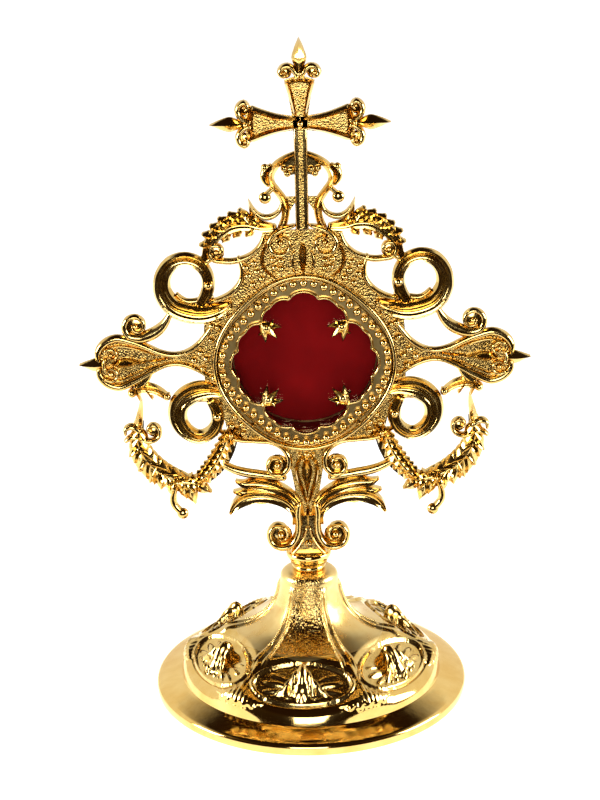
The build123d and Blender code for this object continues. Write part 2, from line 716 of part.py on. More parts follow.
with BuildPart() as capsule_screws:
    with BuildSketch(on_head(-flange_back)):
        with Locations((0, head_centre)):
            with PolarLocations(screw_circle, 4, start_angle=45):
                Circle(screw_radius)
    extrude(amount=capsule_flange_thickness + plate_thickness - 0.6)
    with BuildSketch(on_head(-flange_back)):
        with Locations((0, head_centre)):
            with PolarLocations(screw_circle, 4, start_angle=45):
                Circle(screw_head_radius)
    extrude(amount=0.7, taper=45)
    with BuildSketch(on_head(-flange_back)):
        with Locations((0, head_centre)):
            with PolarLocations(screw_circle, 4, start_angle=45):
                Rectangle(2 * screw_head_radius, 0.4)
    extrude(amount=0.35, mode=Mode.SUBTRACT)
capsule_screws.part.label = "capsule_screws"

with BuildPart() as door:
    with BuildSketch(on_head(-door_outside)):
        with Locations((0, head_centre)):
            Circle(door_radius)
    extrude(amount=door_thickness)
    fillet(door.edges().filter_by(GeomType.CIRCLE).sort_by(Axis.Y)[-1], 0.5)
    with BuildSketch(on_head(-door_outside)):
        with Locations((door_radius + tab_reach / 2 - 1, head_centre)):
            RectangleRounded(tab_reach + 2, tab_width, 1.5)
    extrude(amount=door_thickness)
    with BuildSketch(Plane.XY.offset(head_centre - knuckle_length / 2)):
        with Locations(((hinge_x - door_leaf_start) / 2, hinge_y)):
            Rectangle(-hinge_x - door_leaf_start, door_thickness)
        with Locations((hinge_x, hinge_y)):
            Circle(knuckle_radius)
            Circle(pin_radius + pin_clearance, mode=Mode.SUBTRACT)
    extrude(amount=knuckle_length)
    with BuildSketch(on_head(-door_inside)):
        with Locations((0, head_centre)):
            Circle(lining_radius + lining_clearance)
    extrude(amount=door_inside - lining_inside - lining_thickness, mode=Mode.SUBTRACT)
door.part.label = "door"

with BuildPart() as door_lining:
    with BuildSketch(on_head(-lining_inside - lining_thickness)):
        with Locations((0, head_centre)):
            Circle(lining_radius)
    extrude(amount=lining_thickness)
door_lining.part.label = "door_lining"

pin_length = 2 * (knuckle_length + knuckle_gap)
with BuildPart() as hinge_pin:
    with BuildSketch(Plane.XY.offset(head_centre - pin_length / 2)):
        with Locations((hinge_x, hinge_y)):
            Circle(pin_radius)
    extrude(amount=pin_length)
    for end in (-1, 1):  # peened ends
        with Locations((hinge_x, hinge_y, head_centre + end * (pin_length / 2 + 0.4))):
            Cylinder(pin_radius * 1.5, 0.8)
hinge_pin.part.label = "hinge_pin"

catch_x = tab_end + catch_clearance
with BuildPart() as catch_spring:
    with BuildSketch(Plane.XY.offset(head_centre - catch_width / 2)):
        with BuildLine():
            Polyline(
                (capsule_radius + 0.1, flange_back),
                (catch_x + catch_thickness, flange_back),
                (catch_x + catch_thickness, door_outside + 1.6),
                (catch_x, door_outside + 1.6),
                (catch_x, flange_back + catch_thickness),
                (capsule_radius + 0.1, flange_back + catch_thickness),
                close=True,
            )
        make_face()
    extrude(amount=catch_width)
    with BuildSketch(on_head(-flange_back)):
        with Locations(*[(rivet_x, head_centre + offset) for offset in (-rivet_offset, rivet_offset)]):
            Circle(rivet_radius)
    extrude(amount=-catch_thickness, mode=Mode.SUBTRACT)
catch_spring.part.label = "catch_spring"

with BuildPart() as catch_rivets:
    with BuildSketch(on_head(-plate_back)):
        with Locations(*[(rivet_x, head_centre + offset) for offset in (-rivet_offset, rivet_offset)]):
            Circle(rivet_radius)
    extrude(amount=-(capsule_flange_thickness + catch_thickness))
    for offset in (-rivet_offset, rivet_offset):
        with Locations((rivet_x, flange_back + catch_thickness + 0.3, head_centre + offset)):
            Cylinder(rivet_radius * 1.6, 0.6, rotation=(90, 0, 0))
catch_rivets.part.label = "catch_rivets"

# ---------------------------------------------------------------- export

os.makedirs("parts", exist_ok=True)
for piece in [
    base_shell.part, base_washer.part, base_nut.part, tie_rod.part, stem_collar.part, stem_cup.part,
    head_frame.part, cross.part, garland_left, garland_right, bezel.part, window_glass.part, glass_ring.part,
    capsule.part, capsule_screws.part, door.part, door_lining.part, hinge_pin.part, catch_spring.part,
    catch_rivets.part,
]:
    export_step(piece, f"parts/{piece.label}.step")
    print(piece.label, "volume", round(piece.volume, 1), "mm3")
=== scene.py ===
import math
import bpy
import bmesh
import numpy as np
from mathutils import Matrix, Vector
from mathutils.geometry import tessellate_polygon


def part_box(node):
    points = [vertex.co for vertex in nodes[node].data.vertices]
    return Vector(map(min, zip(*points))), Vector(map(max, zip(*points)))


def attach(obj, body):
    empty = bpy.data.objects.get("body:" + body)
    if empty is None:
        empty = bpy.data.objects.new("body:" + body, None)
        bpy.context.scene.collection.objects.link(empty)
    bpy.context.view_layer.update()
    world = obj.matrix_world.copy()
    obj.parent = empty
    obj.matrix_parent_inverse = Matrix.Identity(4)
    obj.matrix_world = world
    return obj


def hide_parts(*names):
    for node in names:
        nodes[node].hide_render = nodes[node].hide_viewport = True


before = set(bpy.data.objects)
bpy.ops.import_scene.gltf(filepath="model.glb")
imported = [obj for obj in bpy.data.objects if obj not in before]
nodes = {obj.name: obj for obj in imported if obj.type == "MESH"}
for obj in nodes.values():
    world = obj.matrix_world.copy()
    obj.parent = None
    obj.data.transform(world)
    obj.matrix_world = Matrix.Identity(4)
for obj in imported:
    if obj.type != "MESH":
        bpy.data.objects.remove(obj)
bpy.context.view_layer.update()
mm = 0.001

# the head is drawn in mm from the window's centre: x to the right, h up, and depth forward from the stem's axis
glassLow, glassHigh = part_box("window_glass")
headHeight = (glassLow.z + glassHigh.z) / 2 / mm
plateBack = -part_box("head_frame")[1].y / mm + 3.0  # the casting's flat back, 3 mm before its thick foot's back


def hexColour(text):
    # a colour picker's sRGB value in the linear numbers that the shaders want
    values = []
    for i in (0, 2, 4):
        c = int(text[i:i + 2], 16) / 255
        values.append(c / 12.92 if c <= 0.04045 else ((c + 0.055) / 1.055) ** 2.4)
    return (*values, 1.0)


def addNode(tree, kind, settings=None, inputs=None, links=None):
    # settings are the node's own properties, inputs are socket values, links are (socket, from node, output)
    node = tree.nodes.new(kind)
    for key, value in (settings or {}).items():
        setattr(node, key, value)
    for key, value in (inputs or {}).items():
        node.inputs[key].default_value = value
    for socket, source, output in links or []:
        tree.links.new(source.outputs[output], node.inputs[socket])
    return node


def newMaterial(name):
    material = bpy.data.materials.new(name)
    material.use_nodes = True
    material.node_tree.nodes.clear()
    return material, material.node_tree


def finishMaterial(tree, shader, socket="BSDF"):
    addNode(tree, "ShaderNodeOutputMaterial", links=[("Surface", shader, socket)])


def twoTone(tree, place, finish, detail, low, high):
    # soft clouds from a deep colour to a light one: the noise, and the ramp that colours it
    cloud = addNode(tree, "ShaderNodeTexNoise", inputs={"Scale": 1 / (finish["cloudMm"] * mm), "Detail": detail},
                    links=[("Vector", place, "Object")])
    tint = addNode(tree, "ShaderNodeValToRGB", links=[("Fac", cloud, "Fac")])
    for stop, position, colour in zip(tint.color_ramp.elements, (low, high), (finish["deep"], finish["light"])):
        stop.position = position
        stop.color = hexColour(colour)
    return cloud, tint


# Gold plate over cast brass: a warm metal, nearly a mirror, that goes deep brown where it reflects the dark
def gildedMetal(name, finish):
    material, tree = newMaterial(name)
    place = addNode(tree, "ShaderNodeTexCoord")
    cloud, tint = twoTone(tree, place, finish, 3.0, 0.3, 0.7)
    wipe = addNode(tree, "ShaderNodeMapRange", inputs={"To Min": finish["rough"][0],
                                                       "To Max": finish["rough"][1]},
                   links=[("Value", cloud, "Fac")])
    fine = addNode(tree, "ShaderNodeTexNoise", inputs={"Scale": 1 / (finish["grainMm"] * mm), "Detail": 2.0},
                   links=[("Vector", place, "Object")])
    bump = addNode(tree, "ShaderNodeBump", inputs={"Strength": finish["bump"],
                                                   "Distance": finish["depthMm"] * mm},
                   links=[("Height", fine, "Fac")])
    shader = addNode(tree, "ShaderNodeBsdfPrincipled", inputs={"Metallic": 1.0},
                     links=[("Base Color", tint, "Color"), ("Roughness", wipe, "Result"),
                            ("Normal", bump, "Normal")])
    finishMaterial(tree, shader)
    return material


# polished by hand after plating: only faint ripples
polishedGilt = gildedMetal("polishedGiltBrass", {
    "deep": "e4b964", "light": "f0cf84", "cloudMm": 9, "rough": (0.05, 0.12), "grainMm": 2.4,
    "bump": 0.25, "depthMm": 0.05})
# as cast and plated, lightly brushed: small dents and grain between the ornaments
castGilt = gildedMetal("castGiltBrass", {
    "deep": "d6ae5c", "light": "e8ca84", "cloudMm": 5, "rough": (0.10, 0.20), "grainMm": 0.9,
    "bump": 0.4, "depthMm": 0.10})
# matted with a punch before plating, so it glitters and never mirrors
granularGilt = gildedMetal("punchedGroundGilt", {
    "deep": "d2a450", "light": "ecc878", "cloudMm": 3, "rough": (0.18, 0.28), "grainMm": 0.6,
    "bump": 0.85, "depthMm": 0.26})
# the skin of the sand mould left as it came, then plated: wet-looking, with pores that break up every reflection
peelGilt = gildedMetal("orangePeelGilt", {
    "deep": "c89a4c", "light": "e6c47c", "cloudMm": 3, "rough": (0.12, 0.2), "grainMm": 0.8,
    "bump": 1.0, "depthMm": 0.35})
# turned on a lathe and plated without polishing
satinGilt = gildedMetal("satinGiltBrass", {
    "deep": "dcb66c", "light": "ecd08c", "cloudMm": 7, "rough": (0.24, 0.32), "grainMm": 0.6,
    "bump": 0.2, "depthMm": 0.05})
# zinc plated steel: cool grey, only seen from below
zincSteel = gildedMetal("zincPlatedSteel", {
    "deep": "8f9091", "light": "a9aaa8", "cloudMm": 3, "rough": (0.28, 0.38), "grainMm": 0.5,
    "bump": 0.3, "depthMm": 0.03})
# rolled bronze strip: redder and darker than the gilding
rolledBronze = gildedMetal("rolledSpringBronze", {
    "deep": "9c6a34", "light": "b98446", "cloudMm": 4, "rough": (0.18, 0.28), "grainMm": 0.7,
    "bump": 0.2, "depthMm": 0.03})


# Short red pile on card: dark when seen square on, with a lighter bloom at the edge
def redPile():
    material, tree = newMaterial("redVelvet")
    pile = {"deep": "7c060a", "light": "960c10", "cloudMm": 14.0, "pileMm": 0.25, "pileDepthMm": 0.1,
            "bloom": "c0303a", "bloomWeight": 0.25}
    place = addNode(tree, "ShaderNodeTexCoord")
    cloud, tint = twoTone(tree, place, pile, 2.0, 0.25, 0.75)
    hairs = addNode(tree, "ShaderNodeTexNoise", inputs={"Scale": 1 / (pile["pileMm"] * mm), "Detail": 1.0},
                    links=[("Vector", place, "Object")])
    bump = addNode(tree, "ShaderNodeBump", inputs={"Strength": 0.5, "Distance": pile["pileDepthMm"] * mm},
                   links=[("Height", hairs, "Fac")])
    shader = addNode(tree, "ShaderNodeBsdfPrincipled",
                     inputs={"Roughness": 0.9, "Sheen Weight": pile["bloomWeight"], "Sheen Roughness": 0.4,
                             "Sheen Tint": hexColour(pile["bloom"]), "Specular IOR Level": 0.1},
                     links=[("Base Color", tint, "Color"), ("Normal", bump, "Normal")])
    finishMaterial(tree, shader)
    return material


# Flat clear glass with a breath of dust, so it mirrors the lamps here and there
def clearPane():
    material, tree = newMaterial("clearGlass")
    pane = {"dustMm": 8, "haze": 0.03, "clear": (0.97, 0.97, 0.97, 1)}
    place = addNode(tree, "ShaderNodeTexCoord")
    dust = addNode(tree, "ShaderNodeTexNoise", inputs={"Scale": 1 / (pane["dustMm"] * mm), "Detail": 3.0},
                   links=[("Vector", place, "Object")])
    haze = addNode(tree, "ShaderNodeMapRange", inputs={"To Min": 0.0, "To Max": pane["haze"]},
                   links=[("Value", dust, "Fac")])
    mirror = addNode(tree, "ShaderNodeBsdfGlossy", inputs={"Color": (1, 1, 1, 1)},
                     links=[("Roughness", haze, "Result")])
    clear = addNode(tree, "ShaderNodeBsdfTransparent", inputs={"Color": pane["clear"]})
    edgeOn = addNode(tree, "ShaderNodeFresnel", inputs={"IOR": 1.45})
    mix = addNode(tree, "ShaderNodeMixShader", links=[("Fac", edgeOn, "Fac"), (1, clear, "BSDF"),
                                                      (2, mirror, "BSDF")])
    finishMaterial(tree, mix, "Shader")
    return material


# The capsule: satin gilding outside, and the bore that shows through the window lined with the same red cloth
def linedBore():
    material, tree = newMaterial("capsuleGiltAndCloth")
    lining = {"boreMm": 25.3, "cloudMm": 7, "rough": (0.24, 0.32), "metal": "e4c37c", "cloth": "6c060a"}
    place = addNode(tree, "ShaderNodeTexCoord")
    cloud = addNode(tree, "ShaderNodeTexNoise", inputs={"Scale": 1 / (lining["cloudMm"] * mm), "Detail": 3.0},
                    links=[("Vector", place, "Object")])
    wipe = addNode(tree, "ShaderNodeMapRange",
                   inputs={"To Min": lining["rough"][0], "To Max": lining["rough"][1]},
                   links=[("Value", cloud, "Fac")])
    metal = addNode(tree, "ShaderNodeBsdfPrincipled",
                    inputs={"Metallic": 1.0, "Base Color": hexColour(lining["metal"])},
                    links=[("Roughness", wipe, "Result")])
    cloth = addNode(tree, "ShaderNodeBsdfPrincipled",
                    inputs={"Roughness": 0.9, "Specular IOR Level": 0.1, "Base Color": hexColour(lining["cloth"])})
    fromAxis = addNode(tree, "ShaderNodeVectorMath", {"operation": "SUBTRACT"}, {1: (0, 0, headHeight * mm)},
                       [(0, place, "Object")])
    level = addNode(tree, "ShaderNodeVectorMath", {"operation": "MULTIPLY"}, {1: (1, 0, 1)},
                    [(0, fromAxis, "Vector")])
    reach = addNode(tree, "ShaderNodeVectorMath", {"operation": "LENGTH"}, links=[(0, level, "Vector")])
    inside = addNode(tree, "ShaderNodeMath", {"operation": "LESS_THAN"}, {1: lining["boreMm"] * mm},
                     [(0, reach, "Value")])
    both = addNode(tree, "ShaderNodeMixShader",
                   links=[("Fac", inside, "Value"), (1, metal, "BSDF"), (2, cloth, "BSDF")])
    finishMaterial(tree, both, "Shader")
    return material


redVelvet = redPile()
clearGlass = clearPane()
nodeMaterials = {
    "base_washer": zincSteel, "base_nut": zincSteel, "tie_rod": zincSteel, "glass_ring": rolledBronze,
    "catch_spring": rolledBronze, "door_lining": redVelvet, "window_glass": clearGlass, "capsule": linedBore(),
    "capsule_screws": castGilt, "door": satinGilt, "hinge_pin": castGilt, "catch_rivets": castGilt,
}
for nodeName, node in nodes.items():
    node.data.materials.clear()
    node.data.materials.append(nodeMaterials.get(nodeName, castGilt))
print("materials", len(bpy.data.materials))


# A casting is a list of closed shells: corner places in mm, faces, and which of the piece's materials they take

def smoothLine(points, spacing):
    # a smooth curve through the points; further columns, such as width, ride along it
    p = np.array(points, float)
    if len(p) == 2:
        p = np.vstack([p[0], (p[0] + p[1]) / 2, p[1]])
    t = np.concatenate([[0], np.cumsum(np.linalg.norm(np.diff(p[:, :2], axis=0), axis=1))])
    slopes = np.diff(p, axis=0) / np.diff(t)[:, None]
    gaps = np.diff(t)
    inner = (slopes[:-1] * gaps[1:, None] + slopes[1:] * gaps[:-1, None]) / (gaps[1:] + gaps[:-1])[:, None]
    m = np.vstack([1.5 * slopes[0] - 0.5 * inner[0], inner, 1.5 * slopes[-1] - 0.5 * inner[-1]])
    at = np.linspace(0, t[-1], max(4, int(round(t[-1] / spacing)) + 1))
    i = np.clip(np.searchsorted(t, at, side="right") - 1, 0, len(gaps) - 1)
    s = ((at - t[i]) / gaps[i])[:, None]
    g = gaps[i][:, None]
    return ((2 * s**3 - 3 * s**2 + 1) * p[i] + (s**3 - 2 * s**2 + s) * g * m[i]
            + (-2 * s**3 + 3 * s**2) * p[i + 1] + (s**3 - s**2) * g * m[i + 1])


def frontCurve(kind):
    # heights of a bar's face across its width: u from -1 to 1, t from 0 at the side to 1 at the crest
    u = np.linspace(-1, 1, {"round": 9, "keel": 7, "channel": 13, "fluted": 17}[kind])
    dome = np.sqrt(np.clip(1 - u**2, 0, 1))
    if kind == "round":
        t = dome
    elif kind == "keel":  # a roof with a crisp ridge
        t = 1 - np.abs(u) ** 1.2
    elif kind == "channel":  # two raised edges with a hollow between
        t = np.clip(np.minimum(1, (1 - np.abs(u)) * 5), 0, 1) ** 0.5 * (0.35 + 0.65 * np.abs(u) ** 1.5)
    else:  # three cords, the middle one highest
        t = dome * (0.62 + 0.38 * np.cos(3 * math.pi * u / 1.08) ** 2)
    return u, t


barShape = {
    "endSteps": (0.35, 0.7, 0.92),  # where a round end is cut across, in shares of the half width
    "endDrop": 0.35,  # how much lower the face is at the very end
    "shoulder": 0.45,  # height at which the face meets the bar's sides
    "rootWidth": 0.86, "rootRise": 0.12,  # the bevel where the bar meets what is behind it
    "narrowDrop": 0.6,  # how much lower a bar gets where it is narrow
}


def bar(points, kind="round", crest=4.2, back=None, spacing=0.65, taper=0.5):
    # a strip that follows a curve: points are (x, z, width) or (x, z, width, crest), crest in mm before the axis
    back = -plateBack if back is None else back
    rows = [tuple(p) + (crest,) * (4 - len(p)) for p in points]
    line = smoothLine(rows, spacing)
    ahead = np.gradient(line[:, :2], axis=0)
    ahead /= np.linalg.norm(ahead, axis=1)[:, None] + 1e-9
    half = np.maximum(line[:, 2] / 2, 0.06)
    top = line[:, 3]
    # the line's stations, with a round end before the first and after the last; d is how far past them
    ends = list(barShape["endSteps"])
    at = np.array([0] * len(ends) + list(range(len(line))) + [-1] * len(ends))
    d = np.array([-e for e in reversed(ends)] + [0.0] * len(line) + ends)
    ways = ahead[at]
    places = line[at, :2] + ways * (half[at] * d)[:, None]
    halves = half[at] * np.sqrt(1 - d * d)
    tops = back + (top[at] - back) * (1 - barShape["endDrop"] * d * d)
    lower = taper * barShape["narrowDrop"] * (1 - np.sqrt(halves / halves.max()))
    tops = tops - (tops - back) * lower
    u, t = frontCurve(kind)
    rootWidth, rootRise, shoulder = barShape["rootWidth"], barShape["rootRise"], barShape["shoulder"]
    loopU = np.concatenate([u, [1.0, rootWidth, -rootWidth, -1.0]])
    loopT = np.concatenate([shoulder + (1 - shoulder) * t, [rootRise, 0.0, 0.0, rootRise]])
    side = np.stack([-ways[:, 1], ways[:, 0]], axis=1)
    x = places[:, 0, None] + side[:, 0, None] * loopU * halves[:, None]
    z = places[:, 1, None] + side[:, 1, None] * loopU * halves[:, None]
    depth = back + (tops[:, None] - back) * loopT
    n, k = x.shape
    verts = np.stack([x, -depth, z], axis=2).reshape(-1, 3)
    faces = [(i * k + j, i * k + (j + 1) % k, (i + 1) * k + (j + 1) % k, (i + 1) * k + j)
             for i in range(n - 1) for j in range(k)]
    middles = [verts[:k].mean(0), verts[-k:].mean(0)]
    verts = np.vstack([verts, middles])
    faces += [((j + 1) % k, j, n * k) for j in range(k)]
    faces += [((n - 1) * k + j, (n - 1) * k + (j + 1) % k, n * k + 1) for j in range(k)]
    return [(verts, faces, 0)]


def knob(x, z, radius, crest, back=1.0, around=14, rings=8):
    # a boss or ball: an ellipsoid sunk into what is behind it
    verts, faces = [], []
    depth = (crest - back) / 2
    for i in range(rings + 1):
        a = math.pi * i / rings
        for j in range(around):
            b = 2 * math.pi * j / around
            verts.append((x + radius * math.sin(a) * math.cos(b),
                          -(back + depth + depth * math.cos(a)),
                          z + radius * math.sin(a) * math.sin(b)))
    verts = np.array(verts)
    for i in range(rings):
        for j in range(around):
            k = (j + 1) % around
            if i == 0:
                faces.append((0, (i + 1) * around + k, (i + 1) * around + j))
            elif i == rings - 1:
                faces.append((i * around + j, i * around + k, rings * around))
            else:
                faces.append((i * around + j, i * around + k, (i + 1) * around + k, (i + 1) * around + j))
    return [(verts, faces, 0)]


def pointedLeaf(root, tip, widths, crest, share, bend=0.0):
    # it stops at a share of the way to its tip, because the bar's round end adds the rest
    middle = ((root[0] + tip[0]) / 2 + bend, (root[1] + tip[1]) / 2)
    end = (root[0] + (tip[0] - root[0]) * share, root[1] + (tip[1] - root[1]) * share)
    return bar([(*place, width) for place, width in zip((root, middle, end), widths)], "keel", crest)


def flower(x, h, petals, firstDegrees, reaches, widths, crest):
    # petals round one place; reaches and widths run from a petal's root to its tip
    made = []
    for petal in range(petals):
        a = math.radians(360 / petals * petal + firstDegrees)
        route = [(x + r * math.cos(a), h + r * math.sin(a), width) for r, width in zip(reaches, widths)]
        made += bar(route, "keel", crest)
    return made


def outlineOf(runs, spacing=0.7):
    # a closed outline from runs that meet at corners
    points = []
    for run in runs:
        line = smoothLine(run, spacing) if len(run) > 2 else np.array(run, float)
        points += [tuple(p) for p in line[:-1]]
    return points


def slab(loops, front, back=None, finish=1):
    # a plate with flat faces: the first loop is its edge, the others are holes in it
    back = -plateBack if back is None else back
    flat = [[Vector((x, z, 0)) for x, z in loop] for loop in loops]
    caps = tessellate_polygon(flat)
    corners = [p for loop in loops for p in loop]
    count = len(corners)
    verts = np.array([(x, -front, z) for x, z in corners] + [(x, -back, z) for x, z in corners])
    faces = [tuple(c) for c in caps] + [tuple(count + i for i in reversed(c)) for c in caps]
    start = 0
    for loop in loops:
        size = len(loop)
        for i in range(size):
            a, b = start + i, start + (i + 1) % size
            faces.append((a, b, count + b, count + a))
        start += size
    return [(verts, faces, finish)]


def mirrored(shells):
    # the same shells on the other side of the middle
    return [(verts * np.array([-1, 1, 1]), [tuple(reversed(face)) for face in faces], finish)
            for verts, faces, finish in shells]


# where shells overlap, each has its back in a plane of its own
shellBacks = {"firstMm": 0.05, "stepMm": 0.015, "steps": 29}


def makePiece(name, shells, materials, body, stands, sharpDegrees=42, staggered=False,
              firstBack=shellBacks["firstMm"]):
    bm = bmesh.new()
    for order, (verts, faces, finish) in enumerate(shells):
        if staggered:
            verts = verts.copy()
            atBack = verts[:, 1] > verts[:, 1].max() - 1e-6
            verts[atBack, 1] -= firstBack + shellBacks["stepMm"] * (order % shellBacks["steps"])
        made = [bm.verts.new((x * mm, y * mm, (z + headHeight) * mm)) for x, y, z in verts]
        for i, face in enumerate(faces):
            polygon = bm.faces.new([made[j] for j in face])
            polygon.material_index = finish if isinstance(finish, int) else finish[i]
    bmesh.ops.remove_doubles(bm, verts=bm.verts, dist=0.0001 * mm)
    bmesh.ops.recalc_face_normals(bm, faces=bm.faces)
    mesh = bpy.data.meshes.new(name)
    bm.to_mesh(mesh)
    bm.free()
    for material in materials:
        mesh.materials.append(material)
    mesh.shade_smooth()
    mesh.set_sharp_from_angle(angle=math.radians(sharpDegrees))
    piece = bpy.data.objects.new(name, mesh)
    bpy.context.scene.collection.objects.link(piece)
    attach(piece, body)
    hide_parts(*stands)


head = {
    "groundDepth": 2.5,  # front of the punched ground, mm before the stem's axis
    "armDepth": 2.38,  # front of the arms' ground
    "ringCrest": 5.2,  # top of the four ring scrolls
    "holeRadius": 25.2,
}

# punched ground: the plate round the window, the arm with its spade, the throat of the foot
plateEdge = outlineOf([
    [(0, 45.5), (12.5, 45.5)],
    [(12.5, 45.5), (14.5, 40.5), (17.5, 37.5), (21.5, 36)],
    [(21.5, 36), (20.7, 32), (20.8, 29), (23, 25.6), (27, 23.1), (31, 21.5)],
    [(31, 21.5), (33, 16), (33.8, 8), (33.9, 0), (33.5, -8), (31, -13), (28, -19), (27, -24)],
    [(27, -24), (26, -27.2), (20, -28.2), (12, -28.9), (6.5, -32)],
    [(6.5, -32), (5.6, -38), (4.6, -44), (3.4, -52), (3.2, -60), (5.5, -69)],
    [(5.5, -69), (0, -69)],
])
wholeEdge = plateEdge + [(-x, h) for x, h in reversed(plateEdge) if x > 0]
windowHole = [(head["holeRadius"] * math.cos(a), head["holeRadius"] * math.sin(a))
              for a in (math.radians(-5 * i) for i in range(72))]
armEdge = outlineOf([
    [(31.5, 11.5), (36, 7), (40, 4.3), (44, 3.8), (48, 4.2), (53, 6.4), (58, 8.4), (64, 9.6), (68.3, 7),
     (70.2, 3)],
    [(70.2, 3), (70.2, -1.6), (67.3, -6.2), (64, -8), (58, -6), (52, -2.3), (47, -0.6), (42, 0), (38, -0.8),
     (31.5, -4.8)],
])
ground = slab([wholeEdge, windowHole], head["groundDepth"])
groundRight = slab([armEdge], head["armDepth"])

scrolls = []  # the right half; the left is its mirror image
# border of the arm, which runs on round the spade
scrolls += bar([(30.5, 13.6, 1.7), (33, 10, 1.9), (36, 6.6, 2), (40, 4.1, 2), (44, 3.4, 1.9), (48, 4.1, 2.1),
                (53, 6.3, 2.4), (58, 8.3, 2.6), (63.6, 9.4, 2.8), (67.6, 7.4, 2.9), (69.5, 4.2, 2.4),
                (69.2, 1.6, 1.4)])
scrolls += bar([(31, -5.6, 1.5), (34.5, -2.9, 1.7), (38, -1, 1.8), (42, 0.2, 1.8), (46, 0.1, 1.9),
                (50, -1.4, 2.1), (54, -3.7, 2.3), (58, -5.8, 2.7), (63, -7.6, 2.8), (67, -6.1, 2.9),
                (69.3, -3, 2.4), (69.2, -0.6, 1.4)])
# cord inside the border
scrolls += bar([(50, 3.1, 0.7), (54, 4.9, 0.9), (58.5, 6.4, 1), (62.5, 6.9, 1.1), (65.5, 6.2, 1.2)], crest=3.7)
scrolls += bar([(49, 0.2, 0.6), (54, -1.6, 0.8), (58.5, -3.7, 1), (62.5, -5.2, 1.1), (65.5, -4.8, 1.2)],
               crest=3.7)
scrolls += bar([(45, 2.6, 0.6), (49, 1.8, 1.2), (54, 1.5, 0.8)], "keel", crest=3.5)
# the spade's bud and its two curls
scrolls += bar([(53.6, 1.1, 0.3), (56.5, 1.2, 1.9), (59.5, 1.1, 3.3), (62.2, 0.8, 3.2), (64.2, 0.6, 1.6)], "keel",
               crest=4.9)
scrolls += bar([(66.8, 5.6, 1.5), (64.6, 6, 1.4), (63, 4.6, 1.3), (63.4, 2.9, 1.2), (65.1, 2.6, 1),
                (65.8, 3.8, 0.8)], crest=4.6)
scrolls += knob(65, 4, 0.8, 4.6)
scrolls += bar([(67, -4.4, 1.6), (65, -5.1, 1.5), (63.3, -3.8, 1.4), (63.5, -1.6, 1.3), (65.4, -0.7, 1.1),
                (66.6, -2, 0.8)], crest=4.7)
scrolls += knob(65.2, -2.6, 1, 4.8)
# bound tip
scrolls += bar([(67, 2.6, 1.5), (67.6, 0.6, 1.7), (67, -1.2, 1.5)], crest=5.2)
scrolls += bar([(68.4, 0.5, 3.6), (70.6, 0.4, 4.4), (73, 0.5, 2.9), (75.7, 0.7, 0.4)], "keel", crest=5.0)

# scroll on the fleuron's shoulder
scrolls += bar([(44.4, 18.4, 1.8), (46, 15.2, 2.8), (48.4, 12.4, 3.8), (51.8, 10.4, 4.2), (55.6, 9.4, 3.4),
                (58.9, 10.4, 2.6), (60.1, 13.2, 2.3), (58.8, 16.1, 2.1), (56, 16.8, 1.9), (53.9, 15.2, 1.7),
                (53.7, 12.9, 1.5), (55.3, 11.7, 1.3), (57.2, 12.3, 1.1), (57.5, 13.8, 0.9)])
scrolls += knob(56.4, 13.7, 3.2, 2.7, back=-plateBack)
scrolls += knob(56.2, 13.9, 1, 5)

# the two ring scrolls: cords wind round the opening and end in a bud inside it
scrolls += bar([(25, 20.5, 3), (29, 18.6, 6), (33.5, 17.6, 7), (38.5, 18.2, 7.6), (43.8, 20.6, 7),
                (46.8, 25.6, 6.2), (46.3, 31.2, 5.6), (43, 35.2, 5.2), (38.6, 36.2, 5), (34.4, 34.6, 4.8),
                (31.9, 31, 4.5), (31.5, 27.2, 4.5), (32.5, 23.8, 4.4), (34.6, 21, 3.4)], "fluted",
               head["ringCrest"])
scrolls += knob(31.4, 27.6, 1.7, 5.8)
scrolls += bar([(30.6, 23.4, 1.6), (34.6, 22.2, 2), (39, 22, 1.8), (42, 24.4, 1.2)], crest=3.6)
scrolls += bar([(28, -10.4, 3), (31, -9.4, 5), (34.6, -9.3, 6.8), (39, -10.6, 7.4), (42.8, -14.2, 7),
                (43.4, -19.2, 6.4), (40.7, -24, 5.6), (36.3, -26, 5), (32.2, -24.2, 4.8), (30.1, -20.6, 4.6),
                (30.3, -16.8, 4.4), (32, -13.2, 3.6)], "fluted", head["ringCrest"])
scrolls += knob(30, -18.4, 1.6, 5.8)
scrolls += bar([(28.5, -14.6, 1.3), (31, -13.2, 1.8), (34.4, -12.6, 1.7), (37.4, -13.2, 1.2)], crest=3.6)

# rim of the opening between the plate and the upper ring
scrolls += bar([(21.2, 36.4, 1.5), (20.2, 32.2, 1.7), (20.7, 28.7, 1.8), (23, 25.4, 1.9), (27, 22.8, 1.9),
                (30.6, 21.8, 1.6)])
# little scroll between crest and ring, and the cord that leads to it
scrolls += bar([(12.4, 44.6, 1.5), (14, 40.4, 1.8), (17, 37.4, 2), (20, 36, 2.1), (23.2, 35.3, 2.2),
                (26.4, 35.4, 2.2), (29.6, 36.1, 2), (31, 38.4, 1.8), (29.9, 40.6, 1.6), (27.5, 40.6, 1.5),
                (26.4, 38.8, 1.3), (27.6, 37.4, 1.1)])
scrolls += knob(28.5, 38.3, 2.7, 2.7, back=-plateBack)
scrolls += knob(28.5, 38.6, 0.9, 4.6)
scrolls += bar([(31, 36, 2.4), (32.8, 34.8, 2.2), (34.4, 34, 1.4)], crest=3.6)

